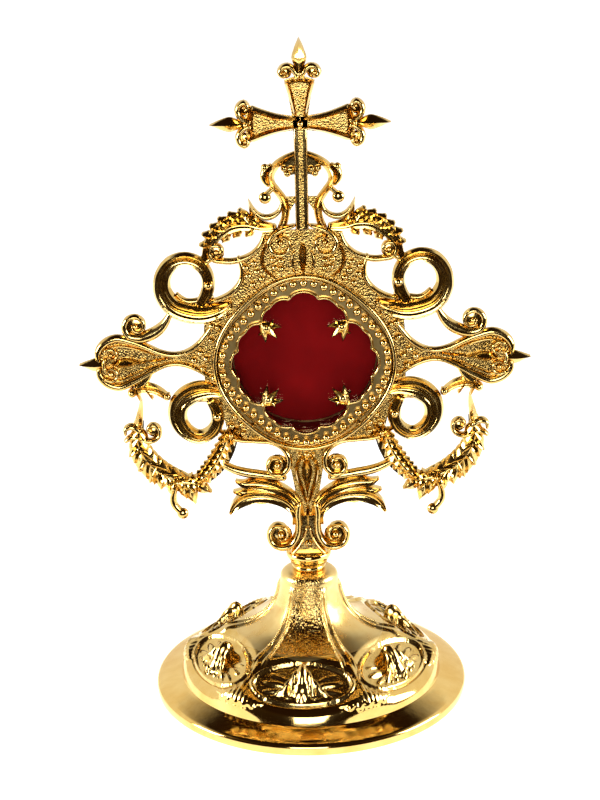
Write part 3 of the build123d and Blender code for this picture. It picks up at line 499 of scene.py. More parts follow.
# shell that the garland hangs from
scrolls += bar([(59, -9.6, 2.4), (55.4, -8.3, 4.2), (51.5, -8.7, 4), (48.4, -10.2, 3), (46.4, -11.5, 2),
                (46.4, -10.4, 1.3)], "fluted", 4.4)
scrolls += bar([(52, -3, 1.6), (54, -5.6, 2.6), (57, -8, 2.8)], crest=3.8)
scrolls += knob(46.9, -11.2, 1.4, 4.4)
scrolls += knob(58.6, -9.8, 1.5, 4.6)
scrolls += bar([(57.5, -6.5, 1.2), (57, -9.5, 1.6), (56, -12, 1.2)], "keel", 4.8)
scrolls += bar([(54.4, -6.8, 1), (53.2, -9.4, 1.4), (51.8, -11.6, 1)], "keel", 4.8)

# lower rim of the plate, which winds into the foot's upper scroll
scrolls += bar([(27.4, -25.8, 1.5), (23, -27.3, 1.7), (17, -27.9, 1.6), (11.6, -28.6, 1.7), (8, -30.8, 2),
                (6.2, -34.4, 2.2), (6.6, -38, 2.2), (9.2, -40.3, 2.1), (12.2, -39.6, 1.9), (13.4, -36.9, 1.7),
                (12, -34.4, 1.5), (9.5, -34.5, 1.3), (8.6, -36.6, 1.2), (9.9, -38, 1)])
scrolls += knob(10, -36.6, 3.6, 2.7, back=-plateBack)
scrolls += knob(10.3, -36.6, 1.2, 5)

# foot: thin branch, three-lobed leaf, lower scroll
scrolls += bar([(8, -41.6, 2.2), (12, -41, 2.9), (17, -40.2, 3.2), (21.5, -39.4, 3.2), (25.6, -38, 2.9),
                (29.2, -35.8, 2.4), (31.4, -33.6, 1.4)], crest=3.8)
scrolls += bar([(2.6, -58, 1.6), (2.2, -54.4, 2.2), (3.4, -50.9, 3.2), (6, -47.6, 3.8), (9.8, -45.2, 4.2),
                (14, -43.7, 4.2), (18.4, -43.1, 3.8), (21.8, -43.2, 2.8), (24.3, -42.2, 1)], "channel", 5.0)
scrolls += bar([(3.4, -56, 1.8), (3.4, -53, 2.2), (5.2, -49.7, 3.2), (9, -47.3, 3.6), (13.6, -46, 3.8),
                (18.4, -45.7, 3.8), (22.2, -46.2, 3), (25.2, -46, 1)], "channel", 5.2)
scrolls += bar([(4.6, -58, 2), (4.6, -54.4, 2.4), (6.8, -51.3, 3.4), (10.8, -49, 4), (15.6, -48, 4.4),
                (20, -48.3, 4.9), (23.4, -49.8, 4.4), (25.6, -52, 2.8), (26.9, -54.1, 0.8)], "channel", 5.4)
scrolls += bar([(11.6, -49.2, 2, 1.6), (14.8, -50.2, 2.6, 1.6), (17.6, -50.3, 2.2, 1.6), (19.4, -49.6, 0.8, 1.6)])
scrolls += bar([(2.9, -51, 2.2), (3.4, -54.6, 2.6), (3.3, -58.6, 2.7), (3.7, -62.4, 2.8), (5.8, -65.9, 2.8),
                (9.4, -67, 2.6), (12.7, -65.1, 2.4), (13.4, -61.7, 2.2), (11.5, -59, 1.9), (8.6, -59.2, 1.6),
                (7.2, -61.6, 1.4), (8.2, -64, 1.2), (10.2, -63.8, 1)], "round", 5.4)
scrolls += knob(9.4, -62.7, 3.9, 2.7, back=-plateBack)
scrolls += knob(9.5, -62.2, 1.3, 5.4)
# drop in the throat, framed by a pointed cord
scrolls += bar([(0.5, -50.4, 0.9), (1.8, -46, 1.5), (3.2, -41.4, 1.7), (3.4, -37.6, 1.6), (2.3, -34.9, 1.4),
                (0.4, -33.9, 1.2)], "keel", 4.6)
scrolls += bar([(0.6, -59.5, 1), (1.6, -63, 1.3), (3.8, -67, 1.7), (5.4, -68.8, 1.8)], crest=5.6)
# scroll at the root of the cross
scrolls += bar([(2.8, 47, 1.2), (6.2, 46, 1.9), (9.6, 44, 2.1), (11.2, 41, 2), (9.9, 38.1, 1.9), (6.9, 37.3, 1.7),
                (4.5, 39.2, 1.5), (4.6, 42.1, 1.3), (6.9, 43.4, 1.1), (8.6, 41.9, 1), (7.8, 40.3, 0.8)],
               crest=4.9)
scrolls += knob(7.2, 41.5, 0.9, 4.9)
scrolls += bar([(11.8, 40.8, 1), (13.3, 37.4, 1.4), (13.4, 34.2, 1.5), (12, 31.6, 1.3), (9.4, 29.6, 0.8)], "keel",
               4.2)
scrolls += bar([(3, 38, 1), (3.6, 34.6, 1.3), (2.8, 31.6, 1)], crest=3.8)
# arch beside the shaft: a cord with a leaf, a ball and three pearls under its crown
scrolls += bar([(2.2, 70.6, 1.7), (5.4, 69, 2.3), (8.4, 66.7, 2.6), (10, 63.9, 2.7), (9.8, 61.2, 2.6),
                (8, 58.6, 2.5), (6.1, 55.8, 2.6), (5.3, 52.8, 2.7), (5.6, 49.4, 2.7), (7, 46, 2.4),
                (7.6, 43, 1.8)], "keel", 4.4)
scrolls += bar([(10, 67.2, 0.8), (11.9, 65.4, 2), (12.3, 62.9, 2.2), (11, 60.6, 1.4)], crest=3.8)
scrolls += knob(11.8, 66.4, 1.3, 3.9)
scrolls += bar([(8.6, 59.8, 1.4), (10.4, 58.4, 1.8), (11.6, 57.2, 1.8)], crest=3.6)
scrolls += knob(12, 56.4, 2.1, 4.2)
scrolls += slab([outlineOf([[(1, 71), (6.6, 67.4)], [(6.6, 67.4), (6, 64.8), (4.6, 63.8), (1, 64.4)]])], 2.2,
                finish=0)
for x, h, r in ((3.3, 65.6, 1.2), (5.6, 65.9, 1.1), (4.5, 64.2, 1.2)):
    scrolls += knob(x, h, r, 3.6)
scrolls += slab([outlineOf([[(1, 56.5), (6, 56.5)], [(6, 56.5), (5.6, 53), (7, 49), (8, 45)],
                            [(8, 45), (1, 45)]])], 2.2, finish=1)
# crest leaf
scrolls += bar([(6.6, 55, 0.8), (7.4, 52, 1.6), (9.6, 50.2, 2), (12.2, 49.8, 2.1), (14.6, 51, 1.8), (16, 53, 1)],
               crest=3.9)
scrolls += bar([(9.4, 46.6, 2.4), (13.4, 46.8, 4.2), (18, 48, 5.6), (22.4, 47.8, 5.8), (26.6, 45.8, 5.4),
                (30, 42.8, 4.4), (31.8, 39.4, 2.8), (32.6, 35.8, 2.2)], "fluted", 4.8)
scrolls += bar([(14.6, 47.4, 2.2), (15.6, 50.6, 2.6), (16.6, 53.2, 1.8), (17.4, 55.9, 0.4)], "keel", 4.8)
for root, tip, width in (((17.6, 48.4), (20.8, 53), 2.6), ((20.4, 48.6), (24.4, 51.6), 2.6),
                         ((23.4, 47.6), (27.8, 49.8), 2.6), ((26, 46), (30.6, 47.4), 2.5),
                         ((28.6, 43.8), (33.2, 44.6), 2.4), ((30.6, 41), (34, 41), 2.2),
                         ((16.4, 46), (18.6, 43.6), 2.2), ((20.6, 45.6), (22.6, 43.4), 2.2),
                         ((24.4, 44.4), (26.2, 41.9), 2.2)):
    scrolls += pointedLeaf(root, tip, (width, width * 1.45, width * 0.8), 5.0, 0.82)
scrolls += knob(18, 49.8, 1, 5)

drop = bar([(0, -35.8, 2.2), (0, -38, 3.5), (0, -41, 3.2), (0, -44.6, 1.6), (0, -48.2, 0.4)], "keel", 5.4)
drop += bar([(0, -52, 0.8), (0, -55.5, 1.5), (0, -59, 0.8)], "keel", 4.8)
drop += knob(0, -65.4, 1.5, 5.2)
drop += bar([(0, 40.5, 1.6), (0, 37, 2.6), (0, 34, 2.2), (0, 31.5, 1.2)], "keel", 4.8)
drop += slab([outlineOf([[(-5.5, -69), (5.5, -69)], [(5.5, -69), (4.2, -65), (3.6, -60), (3.4, -55)],
                         [(3.4, -55), (-3.4, -55)], [(-3.4, -55), (-3.6, -60), (-4.2, -65), (-5.5, -69)]])], 3.9,
             back=-3.9, finish=0)

makePiece("headGround", ground + groundRight + mirrored(groundRight), [polishedGilt, granularGilt], "stand",
          ["head_frame"], staggered=True, firstBack=0)
for name, shells in (("headScrollsRight", scrolls), ("headScrollsLeft", mirrored(scrolls))):
    makePiece(name, shells, [castGilt, granularGilt], "stand", ["head_frame"], staggered=True)
makePiece("headMiddle", drop, [castGilt, granularGilt], "stand", ["head_frame"], staggered=True,
          firstBack=0.06)
print("head", sum(len(faces) for _, faces, _ in scrolls), "faces a side")


# The cross: four arms with raised frames round a hatched panel, each ending in a bud between two curls
cross = {"ground": 2.4, "panel": 3.6, "frameCrest": 4.6, "budCrest": 5.4}  # mm before the stem's axis


def budEnd(x, h, angle, reach, spread):
    # a pointed bud with a curl at each side; drawn upwards from its root, then turned
    made = bar([(0, -0.6, 2.2), (0, reach * 0.2, 3.2), (0, reach * 0.42, 4.8), (0, reach * 0.68, 3.4),
                (0, reach, 0.4)], "keel", cross["budCrest"])
    curl = bar([(0.5, -1.6, 1.4), (1.5, 0.4, 2), (spread * 0.62, 2.1, 2.1), (spread * 1.02, 1.8, 2.1),
                (spread * 1.2, 0, 1.9), (spread * 0.98, -1.1, 1.6), (spread * 0.78, -0.3, 1.1)], "round", 5.0)
    curl += knob(spread * 0.95, 0.1, 0.75, 5.0)
    curl += knob(spread * 0.85, 0.1, spread * 0.38, 2.8, back=-plateBack)
    curl += knob(1.0, -1.6, 0.8, 4.6)
    made += curl + mirrored(curl)
    made += knob(0, -0.2, 0.95, 5.2)
    placed = []
    c, s = math.cos(math.radians(angle)), math.sin(math.radians(angle))
    for verts, faces, finish in made:
        vx, vh = verts[:, 0], verts[:, 2]
        placed.append((np.stack([x + vx * c - vh * s, verts[:, 1], h + vx * s + vh * c], axis=1), faces, finish))
    return placed


armRight = slab([outlineOf([[(0, 82.6), (8, 83.9), (16.4, 86.6)], [(16.4, 86.6), (18, 80.6), (16.4, 74.6)],
                            [(16.4, 74.6), (8, 77.3), (0, 78.6)]])], cross["ground"])
armRight += bar([(1.6, 81.9, 1.3), (8, 83, 1.8), (15.4, 85.4, 2.2)], "keel", cross["frameCrest"])
armRight += bar([(1.6, 79.3, 1.3), (8, 78.2, 1.8), (15.4, 75.8, 2.2)], "keel", cross["frameCrest"])
armRight += bar([(15.4, 85.4, 1.9), (16.3, 80.6, 2.1), (15.4, 75.8, 1.9)], "keel", cross["frameCrest"])
armRight += slab([outlineOf([[(3.4, 80.9), (12.6, 82.9)], [(12.6, 82.9), (12.9, 80.6), (12.6, 78.3)],
                             [(12.6, 78.3), (3.4, 80.3)]])], cross["panel"])
armRight += budEnd(17.9, 80.6, -90, 11.2, 5.8)
upper = slab([outlineOf([[(-2.2, 79), (2.2, 79)], [(2.2, 79), (3.2, 87), (4.9, 94.4)],
                         [(4.9, 94.4), (0, 95.6), (-4.9, 94.4)], [(-4.9, 94.4), (-3.2, 87), (-2.2, 79)]])],
             cross["ground"])
upperSide = bar([(1.5, 82.6, 1.1), (2.5, 88, 1.5), (3.9, 93.4, 1.9)], "keel", cross["frameCrest"])
upper += upperSide + mirrored(upperSide)
upper += bar([(-4.1, 93.6, 1.5), (0, 94.5, 1.7), (4.1, 93.6, 1.5)], "keel", cross["frameCrest"])
upper += slab([outlineOf([[(-0.5, 83.6), (0.5, 83.6)], [(0.5, 83.6), (1.9, 91.6)], [(1.9, 91.6), (-1.9, 91.6)],
                          [(-1.9, 91.6), (-0.5, 83.6)]])], cross["panel"])
upper += budEnd(0, 96.8, 0, 11, 5.2)
upper += knob(0, 80.6, 1.2, 5)
shaft = slab([[(-2.25, 80), (2.25, 80), (2.25, 45.6), (-2.25, 45.6)]], 2.3, finish=0)
shaftSide = bar([(1.85, 79, 0.7), (1.85, 62, 0.7), (1.85, 46, 0.7)], "round", 4.2, spacing=4)
shaft += shaftSide + mirrored(shaftSide)
shaft += slab([outlineOf([[(-0.75, 79), (0.75, 79)], [(0.75, 79), (0.75, 46)], [(0.75, 46), (-0.75, 46)],
                          [(-0.75, 46), (-0.75, 79)]])], 3.7)
makePiece("crossCasting", armRight + mirrored(armRight) + upper + shaft, [castGilt, granularGilt], "stand",
          ["cross"], staggered=True)
print("cross")


# The garland: a hook, two leafy branches that meet at a rosette, and a seed pod
def branch(points, leafLong, leafWide, step, angle=38, crest=4.4):
    # pairs of pointed leaves along a stem, larger in the middle
    made = bar([(x, h, 2.2) for x, h in points], "round", crest - 0.2)
    line = smoothLine(points, step)
    ahead = np.gradient(line, axis=0)
    for i, (place, way) in enumerate(zip(line, ahead)):
        way = way / np.linalg.norm(way)
        grow = 0.75 + 0.35 * math.sin(math.pi * (i + 0.5) / len(line))
        for side in (-1, 1):
            a = math.radians(angle * side)
            out = np.array([way[0] * math.cos(a) - way[1] * math.sin(a),
                            way[0] * math.sin(a) + way[1] * math.cos(a)])
            bend = way * 0.12
            route = [place, place + (out + bend) * leafLong * grow * 0.5,
                     place + (out + 3 * bend) * leafLong * grow]
            widths = (leafWide * 0.8, leafWide * 1.35 * grow, 0.9)
            made += bar([(*p, w) for p, w in zip(route, widths)], "keel", crest + 0.3 * (i % 2), spacing=0.9)
    return made


limb = slab([outlineOf([[(23, -25.6), (28.8, -25)], [(28.8, -25), (31.2, -30.5), (34.2, -36.6), (37.6, -40.2)],
                        [(37.6, -40.2), (33.6, -43)], [(33.6, -43), (28.6, -38.6), (25.2, -33), (23, -25.6)]])],
            1.6, finish=0)
limb += branch([(36, -41), (32.4, -37), (29.2, -31.6), (27, -26)], 4.8, 2.5, 2.6, angle=142)
# small flower on the plate's corner
limb += flower(25.6, -25.2, 6, 15, (0.6, 2.6, 3.8), (1, 1.8, 0.6), 4.9)
limb += knob(25.6, -25.2, 1.1, 5.4)
for name, shells in (("limbRight", limb), ("limbLeft", mirrored(limb))):
    makePiece(name, shells, [castGilt], "stand", ["head_frame"], staggered=True, firstBack=0.4)

garland = bar([(55.7, -12.4, 0.9), (56, -15.4, 1.8), (56.6, -18.6, 2.6), (57.2, -21.4, 3)], "keel", 4.2)
garland += slab([outlineOf([
    [(55.2, -20), (58.6, -20)],
    [(58.6, -20), (58.6, -27), (56.4, -34.2), (51.6, -40), (45.4, -43.2), (38, -45)],
    [(38, -45), (37.6, -41.4)],
    [(37.6, -41.4), (43, -40), (48.4, -37.2), (53, -32), (55, -26.6), (55.2, -20)],
])], 1.4, finish=0)
garland += bar([(56.4, -26.4, 1.8), (54.4, -27, 1.9), (52, -26.8, 1.9), (50, -25, 1.8), (50.2, -22.4, 1.7),
                (52.4, -21.2, 1.5), (54, -22.6, 1.2), (53.2, -24.2, 1)], "round", 4.4)
garland += knob(52.1, -23.9, 1.9, 2.6, back=-plateBack)
garland += bar([(57, -23.4, 2), (59.4, -21.8, 2.4), (61.4, -22.6, 1.9), (61.6, -24.4, 1.2)], "round", 4.4)
garland += bar([(57.2, -26, 1.8), (59.6, -25.6, 2.2), (61.5, -26.8, 1.6)], "round", 4.4)
garland += branch([(57, -23), (56.8, -28.4), (54.6, -33.6), (50.6, -38), (45.4, -41)], 5.4, 3.0, 2.5, angle=40)
garland += branch([(38.2, -42.6), (41.4, -42.2), (44, -41.8)], 4.4, 2.6, 2.1, angle=142)
for root, tip, width in (((56, -29), (61.2, -33), 3.2), ((53.8, -33.4), (58.4, -38.4), 3.2),
                         ((51.6, -36.6), (54.4, -43), 3.2), ((48.6, -39.6), (50.6, -45.4), 3),
                         ((45.6, -42), (46.6, -48), 3), ((40.4, -43.6), (38.4, -51), 3.2),
                         ((38.4, -43), (32.4, -46.4), 3.2), ((42.4, -43.4), (41.6, -48.6), 2.8)):
    garland += pointedLeaf(root, tip, (width * 0.8, width * 1.3, 1.1), 4.6, 0.86, bend=0.3)
garland += flower(44.2, -42, 5, 10, (0.5, 1.7, 2.9), (1, 1.7, 0.6), 5.0)
garland += knob(44.2, -42, 1, 5.4)
garland += bar([(45.2, -44, 1.8), (46.2, -47.4, 2.4), (46.2, -50.2, 2.6), (44.8, -52.4, 2.4), (43.4, -53.6, 2.2)],
               "round", 4.2)
garland += knob(43.2, -53.8, 2.1, 4.4)
for name, shells, stands in (("garlandRight", garland, ["garland_right"]),
                             ("garlandLeft", mirrored(garland), ["garland_left"])):
    makePiece(name, shells, [castGilt], "stand", stands, staggered=True)
print("garlands", sum(len(faces) for _, faces, _ in garland), "faces a side")


# Rows of beads: a curve is divided evenly and a ball is set on every point
def beadTree():
    tree = bpy.data.node_groups.new("beadRow", "GeometryNodeTree")
    for name, kind in (("Geometry", "Geometry"), ("Beads per line", "Int"), ("Bead radius", "Float"),
                       ("Height share", "Float"), ("Finish", "Material")):
        tree.interface.new_socket(name, in_out="INPUT", socket_type="NodeSocket" + kind)
    tree.interface.new_socket("Geometry", in_out="OUTPUT", socket_type="NodeSocketGeometry")
    given = addNode(tree, "NodeGroupInput")
    line = addNode(tree, "GeometryNodeMeshToCurve", links=[("Mesh", given, "Geometry")])
    even = addNode(tree, "GeometryNodeResampleCurve", {"mode": "COUNT"},
                   links=[("Curve", line, "Curve"), ("Count", given, "Beads per line")])
    ball = addNode(tree, "GeometryNodeMeshUVSphere", inputs={"Segments": 12, "Rings": 7},
                   links=[("Radius", given, "Bead radius")])
    squash = addNode(tree, "ShaderNodeCombineXYZ", inputs={"X": 1.0, "Z": 1.0},
                     links=[("Y", given, "Height share")])
    placed = addNode(tree, "GeometryNodeInstanceOnPoints",
                     links=[("Points", even, "Curve"), ("Instance", ball, "Mesh"), ("Scale", squash, "Vector")])
    real = addNode(tree, "GeometryNodeRealizeInstances", links=[("Geometry", placed, "Instances")])
    painted = addNode(tree, "GeometryNodeSetMaterial",
                      links=[("Geometry", real, "Geometry"), ("Material", given, "Finish")])
    addNode(tree, "NodeGroupOutput", links=[("Geometry", painted, "Geometry")])
    return tree


beadGroup = beadTree()


def beadLines(name, lines, closed, values, body, stands):
    # lines are lists of places in mm; values fill the tree's named inputs
    verts, edges = [], []
    for line in lines:
        first = len(verts)
        verts += [tuple(c * mm for c in place) for place in line]
        edges += [(first + i, first + i + 1) for i in range(len(line) - 1)]
        if closed:
            edges.append((len(verts) - 1, first))
    mesh = bpy.data.meshes.new(name + "Lines")
    mesh.from_pydata(verts, edges, [])
    piece = bpy.data.objects.new(name, mesh)
    bpy.context.scene.collection.objects.link(piece)
    modifier = piece.modifiers.new("beads", "NODES")
    modifier.node_group = beadGroup
    for item in beadGroup.interface.items_tree:
        if item.in_out == "INPUT" and item.name in values:
            modifier[item.identifier] = values[item.name]
    bpy.context.view_layer.update()
    seen = piece.evaluated_get(bpy.context.evaluated_depsgraph_get())
    finished = bpy.data.meshes.new_from_object(seen)
    piece.modifiers.clear()
    piece.data = finished
    finished.shade_smooth()
    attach(piece, body)
    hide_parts(*stands)


# The bezel: a soft quatrefoil with a ridge at its edge, a row of beads and a scalloped lip
bezelSize = {
    "edge": 29.5, "edgeWave": 0.7, "beads": 48, "beadLine": 26.5, "beadWave": 1.5, "beadRadius": 1.35,
    "floor": 3.3, "lip": 4.9, "ridge": 5.6,
    # scallops of each quarter's half: from and to in degrees, radius at their ends and in their middle
    "scallops": ((-12.5, 12.5, 22.6, 24.6), (12.5, 29, 22.4, 23.4)),
    "cusp": (29, 22.4, 19.9, 0.9),  # first degree, radius there and at the point, and its swell
}


def windowRadius(degrees):
    # radius of the scalloped opening, by the angle within a quarter; the cusps point inwards at 45 degrees
    a = abs((degrees + 45) % 90 - 45)
    for low, high, inner, outer in bezelSize["scallops"]:
        if a <= high:
            return inner + (outer - inner) * math.sin(math.pi * (a - low) / (high - low)) ** 0.7
    first, wide, narrow, swell = bezelSize["cusp"]
    share = (a - first) / (45 - first)
    return wide + (narrow - wide) * share + swell * math.sin(math.pi * share)


def around(radiusAt, step):
    return [(radiusAt(a) * math.cos(math.radians(a)), radiusAt(a) * math.sin(math.radians(a)))
            for a in np.arange(0, 360, step)]


def closedBar(loop, width, crest):
    # a cord that meets itself: it runs on over its own beginning
    return bar([(x, h, width) for x, h in loop + loop[:2]], "round", crest, back=3.1, spacing=0.5, taper=0)


def quatrefoil(radius, wave):
    return lambda degrees: radius + wave * math.cos(math.radians(4 * degrees))


rim = quatrefoil(bezelSize["edge"], bezelSize["edgeWave"])
bezelShells = slab([around(rim, 3), around(windowRadius, 1.5)[::-1]], bezelSize["floor"], back=2.9, finish=2)
for loop, width, crest in ((around(rim, 6), 1.6, bezelSize["ridge"]),
                           (around(quatrefoil(bezelSize["edge"] - 1.5, 1.1), 6), 0.7, 4.7),
                           (around(lambda a: windowRadius(a) + 0.35, 2.5), 1.0, bezelSize["lip"])):
    bezelShells += closedBar(loop, width, crest)
lily = []
for reach, spread, width in ((13.0, 0, 2.5), (15.0, 14, 2.2), (15.0, -14, 2.2), (18.4, 11, 1.7),
                             (18.4, -11, 1.7)):
    tip = math.radians(45 + spread)
    mid = math.radians(45 + spread * 0.35)
    lily += bar([(20.2 * math.cos(math.pi / 4), 20.2 * math.sin(math.pi / 4), width * 0.8),
                 (17.6 * math.cos(mid), 17.6 * math.sin(mid), width),
                 (reach * math.cos(tip), reach * math.sin(tip), 0.5)], "keel", 5.2, back=3.4)
lily += knob(12.6, 12.6, 1.3, 5.6, back=3.6)
for c, s in ((1, 0), (0, 1), (-1, 0), (0, -1)):  # one lily at each cusp
    for verts, faces, finish in lily:
        x, y, h = verts.T
        bezelShells.append((np.stack([x * c - h * s, y, x * s + h * c], axis=1), faces, finish))
# drops scattered over the plate, with a row of three at the throat
for x, h in ((25, 20.4), (28, 19.2), (26.2, 17.2), (28.9, 16.2), (28.8, 12.9), (30.8, 13.4), (35, 4), (37.2, 1.6),
             (34.2, -1.4), (33, 2), (18, -21.9), (21.6, -21.6), (24, -18.8), (21.5, -24.6), (25.2, -22),
             (16.2, 34.6), (19, 33.2), (15.3, 31.7), (18.2, 30.4), (13.7, 29.3), (16.8, 27.4), (7.2, 35.2),
             (9.8, 35.8), (9.2, 33), (7.4, 32.6), (31.2, 8.4), (30.6, -4.8)):
    for side in (-1, 1):
        bezelShells += knob(x * side, h, 1.2, 4.6, back=1.5, around=10, rings=6)
bezelShells += knob(0, -33, 1, 4, back=1.5)
for side in (-1, 1):
    bezelShells += knob(2.4 * side, -33.2, 0.7, 3.6, back=1.5, around=10, rings=6)
makePiece("bezelCasting", bezelShells, [castGilt, granularGilt, satinGilt], "stand", ["bezel"])
beadLoop = around(quatrefoil(bezelSize["beadLine"], bezelSize["beadWave"]), 2)
beadLines("bezelBeads", [[(x, -bezelSize["floor"] - 0.75, h + headHeight) for x, h in beadLoop]], True,
          {"Beads per line": bezelSize["beads"], "Bead radius": bezelSize["beadRadius"] * mm,
           "Height share": 1.35, "Finish": castGilt}, "stand", ["bezel"])
print("bezel")


# The foot, turned and then chased: medallions, ridges between the panels, leaves over the drum
foot = {
    "panels": 6, "turn": -5.0,  # degrees from the front
    "medallionAt": 34.4, "medallionTop": 15.3, "tilt": 29.0, "long": 18.0, "wide": 8.8,
    "cordHeight": 0.7, "bracketHeight": 0.7, "leafHeight": 0.8,
    "drumLow": 6.2, "drumHigh": 13.4, "drumRadius": 46.0, "drumTopRadius": 42.6,
    "segments": 516,
}


def turned(profile, segments, height=None, loops=None):
    # a closed profile of (r, z) turned round the stem; height(r, z, angle) lifts points of its outer side
    r = np.array([p[0] for p in profile])
    z = np.array([p[1] for p in profile])
    a = np.arange(segments) * 2 * math.pi / segments
    rr, aa = np.meshgrid(r, a, indexing="ij")
    zz = np.repeat(z[:, None], segments, axis=1)
    if height is not None:
        rr[:loops], zz[:loops] = height(rr[:loops], zz[:loops], aa[:loops])
    verts = np.stack([rr * np.cos(aa), rr * np.sin(aa), zz - headHeight], axis=2).reshape(-1, 3)
    n = len(profile)
    faces = [(i * segments + j, i * segments + (j + 1) % segments, (i + 1) % n * segments + (j + 1) % segments,
              (i + 1) % n * segments + j) for i in range(n) for j in range(segments)]
    return verts, faces


def resampled(points, spacing):
    # a smooth line through the points, or a straight one between two
    if len(points) > 2:
        return [tuple(p) for p in smoothLine(points, spacing)]
    return [tuple(p) for p in np.linspace(*points, max(2, int(math.dist(*points) / spacing) + 1))]


def lobe(u, v, place, lean, long, wide, height):
    # an oval dome on a medallion's plane, turned by lean degrees
    c, s = math.cos(math.radians(lean)), math.sin(math.radians(lean))
    du, dv = u - place[0], v - place[1]
    along, across = -du * s + dv * c, du * c + dv * s
    d = (along / long) ** 2 + (across / wide) ** 2
    return height * np.sqrt(np.clip(1 - d, 0, 1))


# one side of a medallion's palmette: place, lean in degrees, half length, half width and height of each leaf
palmette = [
    ((2.6, 0.2), 18, 4.6, 1.35, 6.0), ((4.3, 1.2), 42, 4.2, 1.25, 4.2), ((5.8, 2.8), 66, 4.0, 1.15, 2.8),
    ((9.2, -0.2), 100, 4.8, 1.4, 2.0), ((9.4, 2.4), 84, 4.8, 1.2, 1.6), ((8.4, -3.2), 112, 3.8, 1.1, 1.4),
    # balls along the medallion's edge
    ((4.4, 5.4), 0, 0.8, 0.8, 1.8), ((6.9, 5.0), 0, 0.75, 0.75, 1.5), ((9.6, 4.5), 0, 0.7, 0.7, 1.3),
    ((12.2, 3.2), 0, 0.7, 0.7, 1.1), ((13.6, 0.6), 0, 0.7, 0.7, 1.0),
]


def cordsApart(r):
    # half the gap between the two cords that part two panels
    return 0.65 + 0.075 * np.clip(r - 12, 0, 40)


def footRelief(r, z, a):
    sector = 2 * math.pi / foot["panels"]
    start = math.radians(foot["turn"] - 90)
    off = (a - start + sector / 2) % sector - sector / 2  # from the middle of the panel
    gap = sector / 2 - np.abs(off)  # from the line between two panels
    low, high, wide, narrow = (foot[key] for key in ("drumLow", "drumHigh", "drumRadius", "drumTopRadius"))
    onWall = (r > narrow - 0.01) & (z < high + 0.01)
    climb = np.clip((z - low) / (high - low), 0, 1)
    r = np.where(onWall, narrow, r)
    z = np.where(onWall, high, z)
    lean = math.tan(math.radians(foot["tilt"]))
    u, v = r * np.sin(off), (r * np.cos(off) - foot["medallionAt"]) * math.hypot(1, lean)
    rho = np.sqrt((u / foot["long"]) ** 2 + (v / foot["wide"]) ** 2)
    plane = foot["medallionTop"] - lean * (r * np.cos(off) - foot["medallionAt"])
    # palmette: a high leaf, lower ones fanned out beside it, a ball at its root
    relief = lobe(u, v, (0, -0.6), 0, 5.0, 2.6, 7.4)
    relief = np.maximum(relief, lobe(u, v, (0, 2.2), 0, 3.8, 3.4, 4.8))
    for side in (-1, 1):
        for (across, up), angle, long, broad, rise in palmette:
            relief = np.maximum(relief, lobe(u, v, (across * side, up), -angle * side, long, broad, rise))
    relief = np.maximum(relief, lobe(u, v, (0, 6.0), 0, 1.5, 1.5, 3.4))
    rim = 1.3 * np.clip(1 - ((rho - 0.95) / 0.05) ** 2, 0, 1) ** 0.5
    cord = 0.7 * np.clip(1 - ((rho - 0.83) / 0.03) ** 2, 0, 1) ** 0.5
    dish = -0.9 * np.clip((0.9 - rho) / 0.08, 0, 1)
    carved = np.maximum(np.maximum(relief * (rho < 0.8) + dish, rim), cord + dish)
    away = np.clip((rho - 1.0) / 0.3, 0, 1)
    away = away * away * (3 - 2 * away)
    zNew = np.where(rho < 1, plane + carved, plane + (z - plane) * away)
    zNew = np.where((rho >= 1) & (z < plane), z, zNew)
    zNew = np.where(r < 24, z, zNew)
    # two cords between the panels, which part as they run down
    apart = cordsApart(r)
    s = np.abs(r * np.sin(gap))
    ridge = foot["cordHeight"] * np.clip(1 - ((s - apart) / 0.6) ** 2, 0, 1) ** 0.5
    ridge = ridge + np.clip((apart - s) / 0.3, 0, 1) * 0.2
    ridge = ridge * np.clip((36 - r) / 6, 0, 1) * np.clip((r - 10.2) / 0.5, 0, 1) * (rho > 1.0)
    steep = np.clip((z - 21) / 9, 0, 1)  # on the neck the cords stand outwards, lower down they stand up
    zNew = zNew + ridge * (1 - 0.7 * steep)
    rNew = r + ridge * steep
    # the panels are a little hollow between their cords
    hollow = np.clip((z - 21.5) / 5, 0, 1) * np.clip((r - 10.4) / 2, 0, 1) * np.cos(off / sector * math.pi) ** 2
    rNew = rNew - 0.5 * hollow
    # a bracket of leaves runs out between two medallions and hangs over the drum
    arc = 43.0 * gap
    spread = np.clip(1 - (arc / (2.2 + 7.5 * np.clip((r - 33) / 9.6, 0, 1))) ** 2, 0, 1)
    bracket = spread * np.clip((r - 32) / 8, 0, 1) * (rho > 1.0)
    ribs = 0.6 + 0.4 * np.cos(arc * math.pi / 1.7) ** 2
    zNew = zNew + foot["bracketHeight"] * bracket * ribs
    # the drum's wall is rounded over towards the edge that the medallions leave
    zWall = low + (zNew - low) * climb
    down = zNew - zWall
    edge = narrow + 0.5 * bracket
    rWall = wide + (edge - wide) * (0.42 * climb + 0.58 * climb ** 4)
    fall = (2.4 + 1.8 * np.abs(np.cos(arc * math.pi / 3.1))) * np.clip(1.08 - (arc / 9.8) ** 2, 0.01, 1)
    leaf = foot["leafHeight"] * np.sqrt(np.clip(1 - (down / fall) ** 2, 0, 1))
    leaf = leaf * (0.5 + 0.5 * np.cos(arc * math.pi / 1.55) ** 2)
    rWall = rWall + leaf * (arc < 9.8)
    rNew = np.where(onWall, rWall, rNew)
    zNew = np.where(onWall, zWall, zNew)
    outwards = np.clip((r - 40.5) / 2.1, 0, 1) * ~onWall
    rNew = rNew + outwards * (edge - narrow + leaf * (arc < 9.8))
    return rNew, zNew


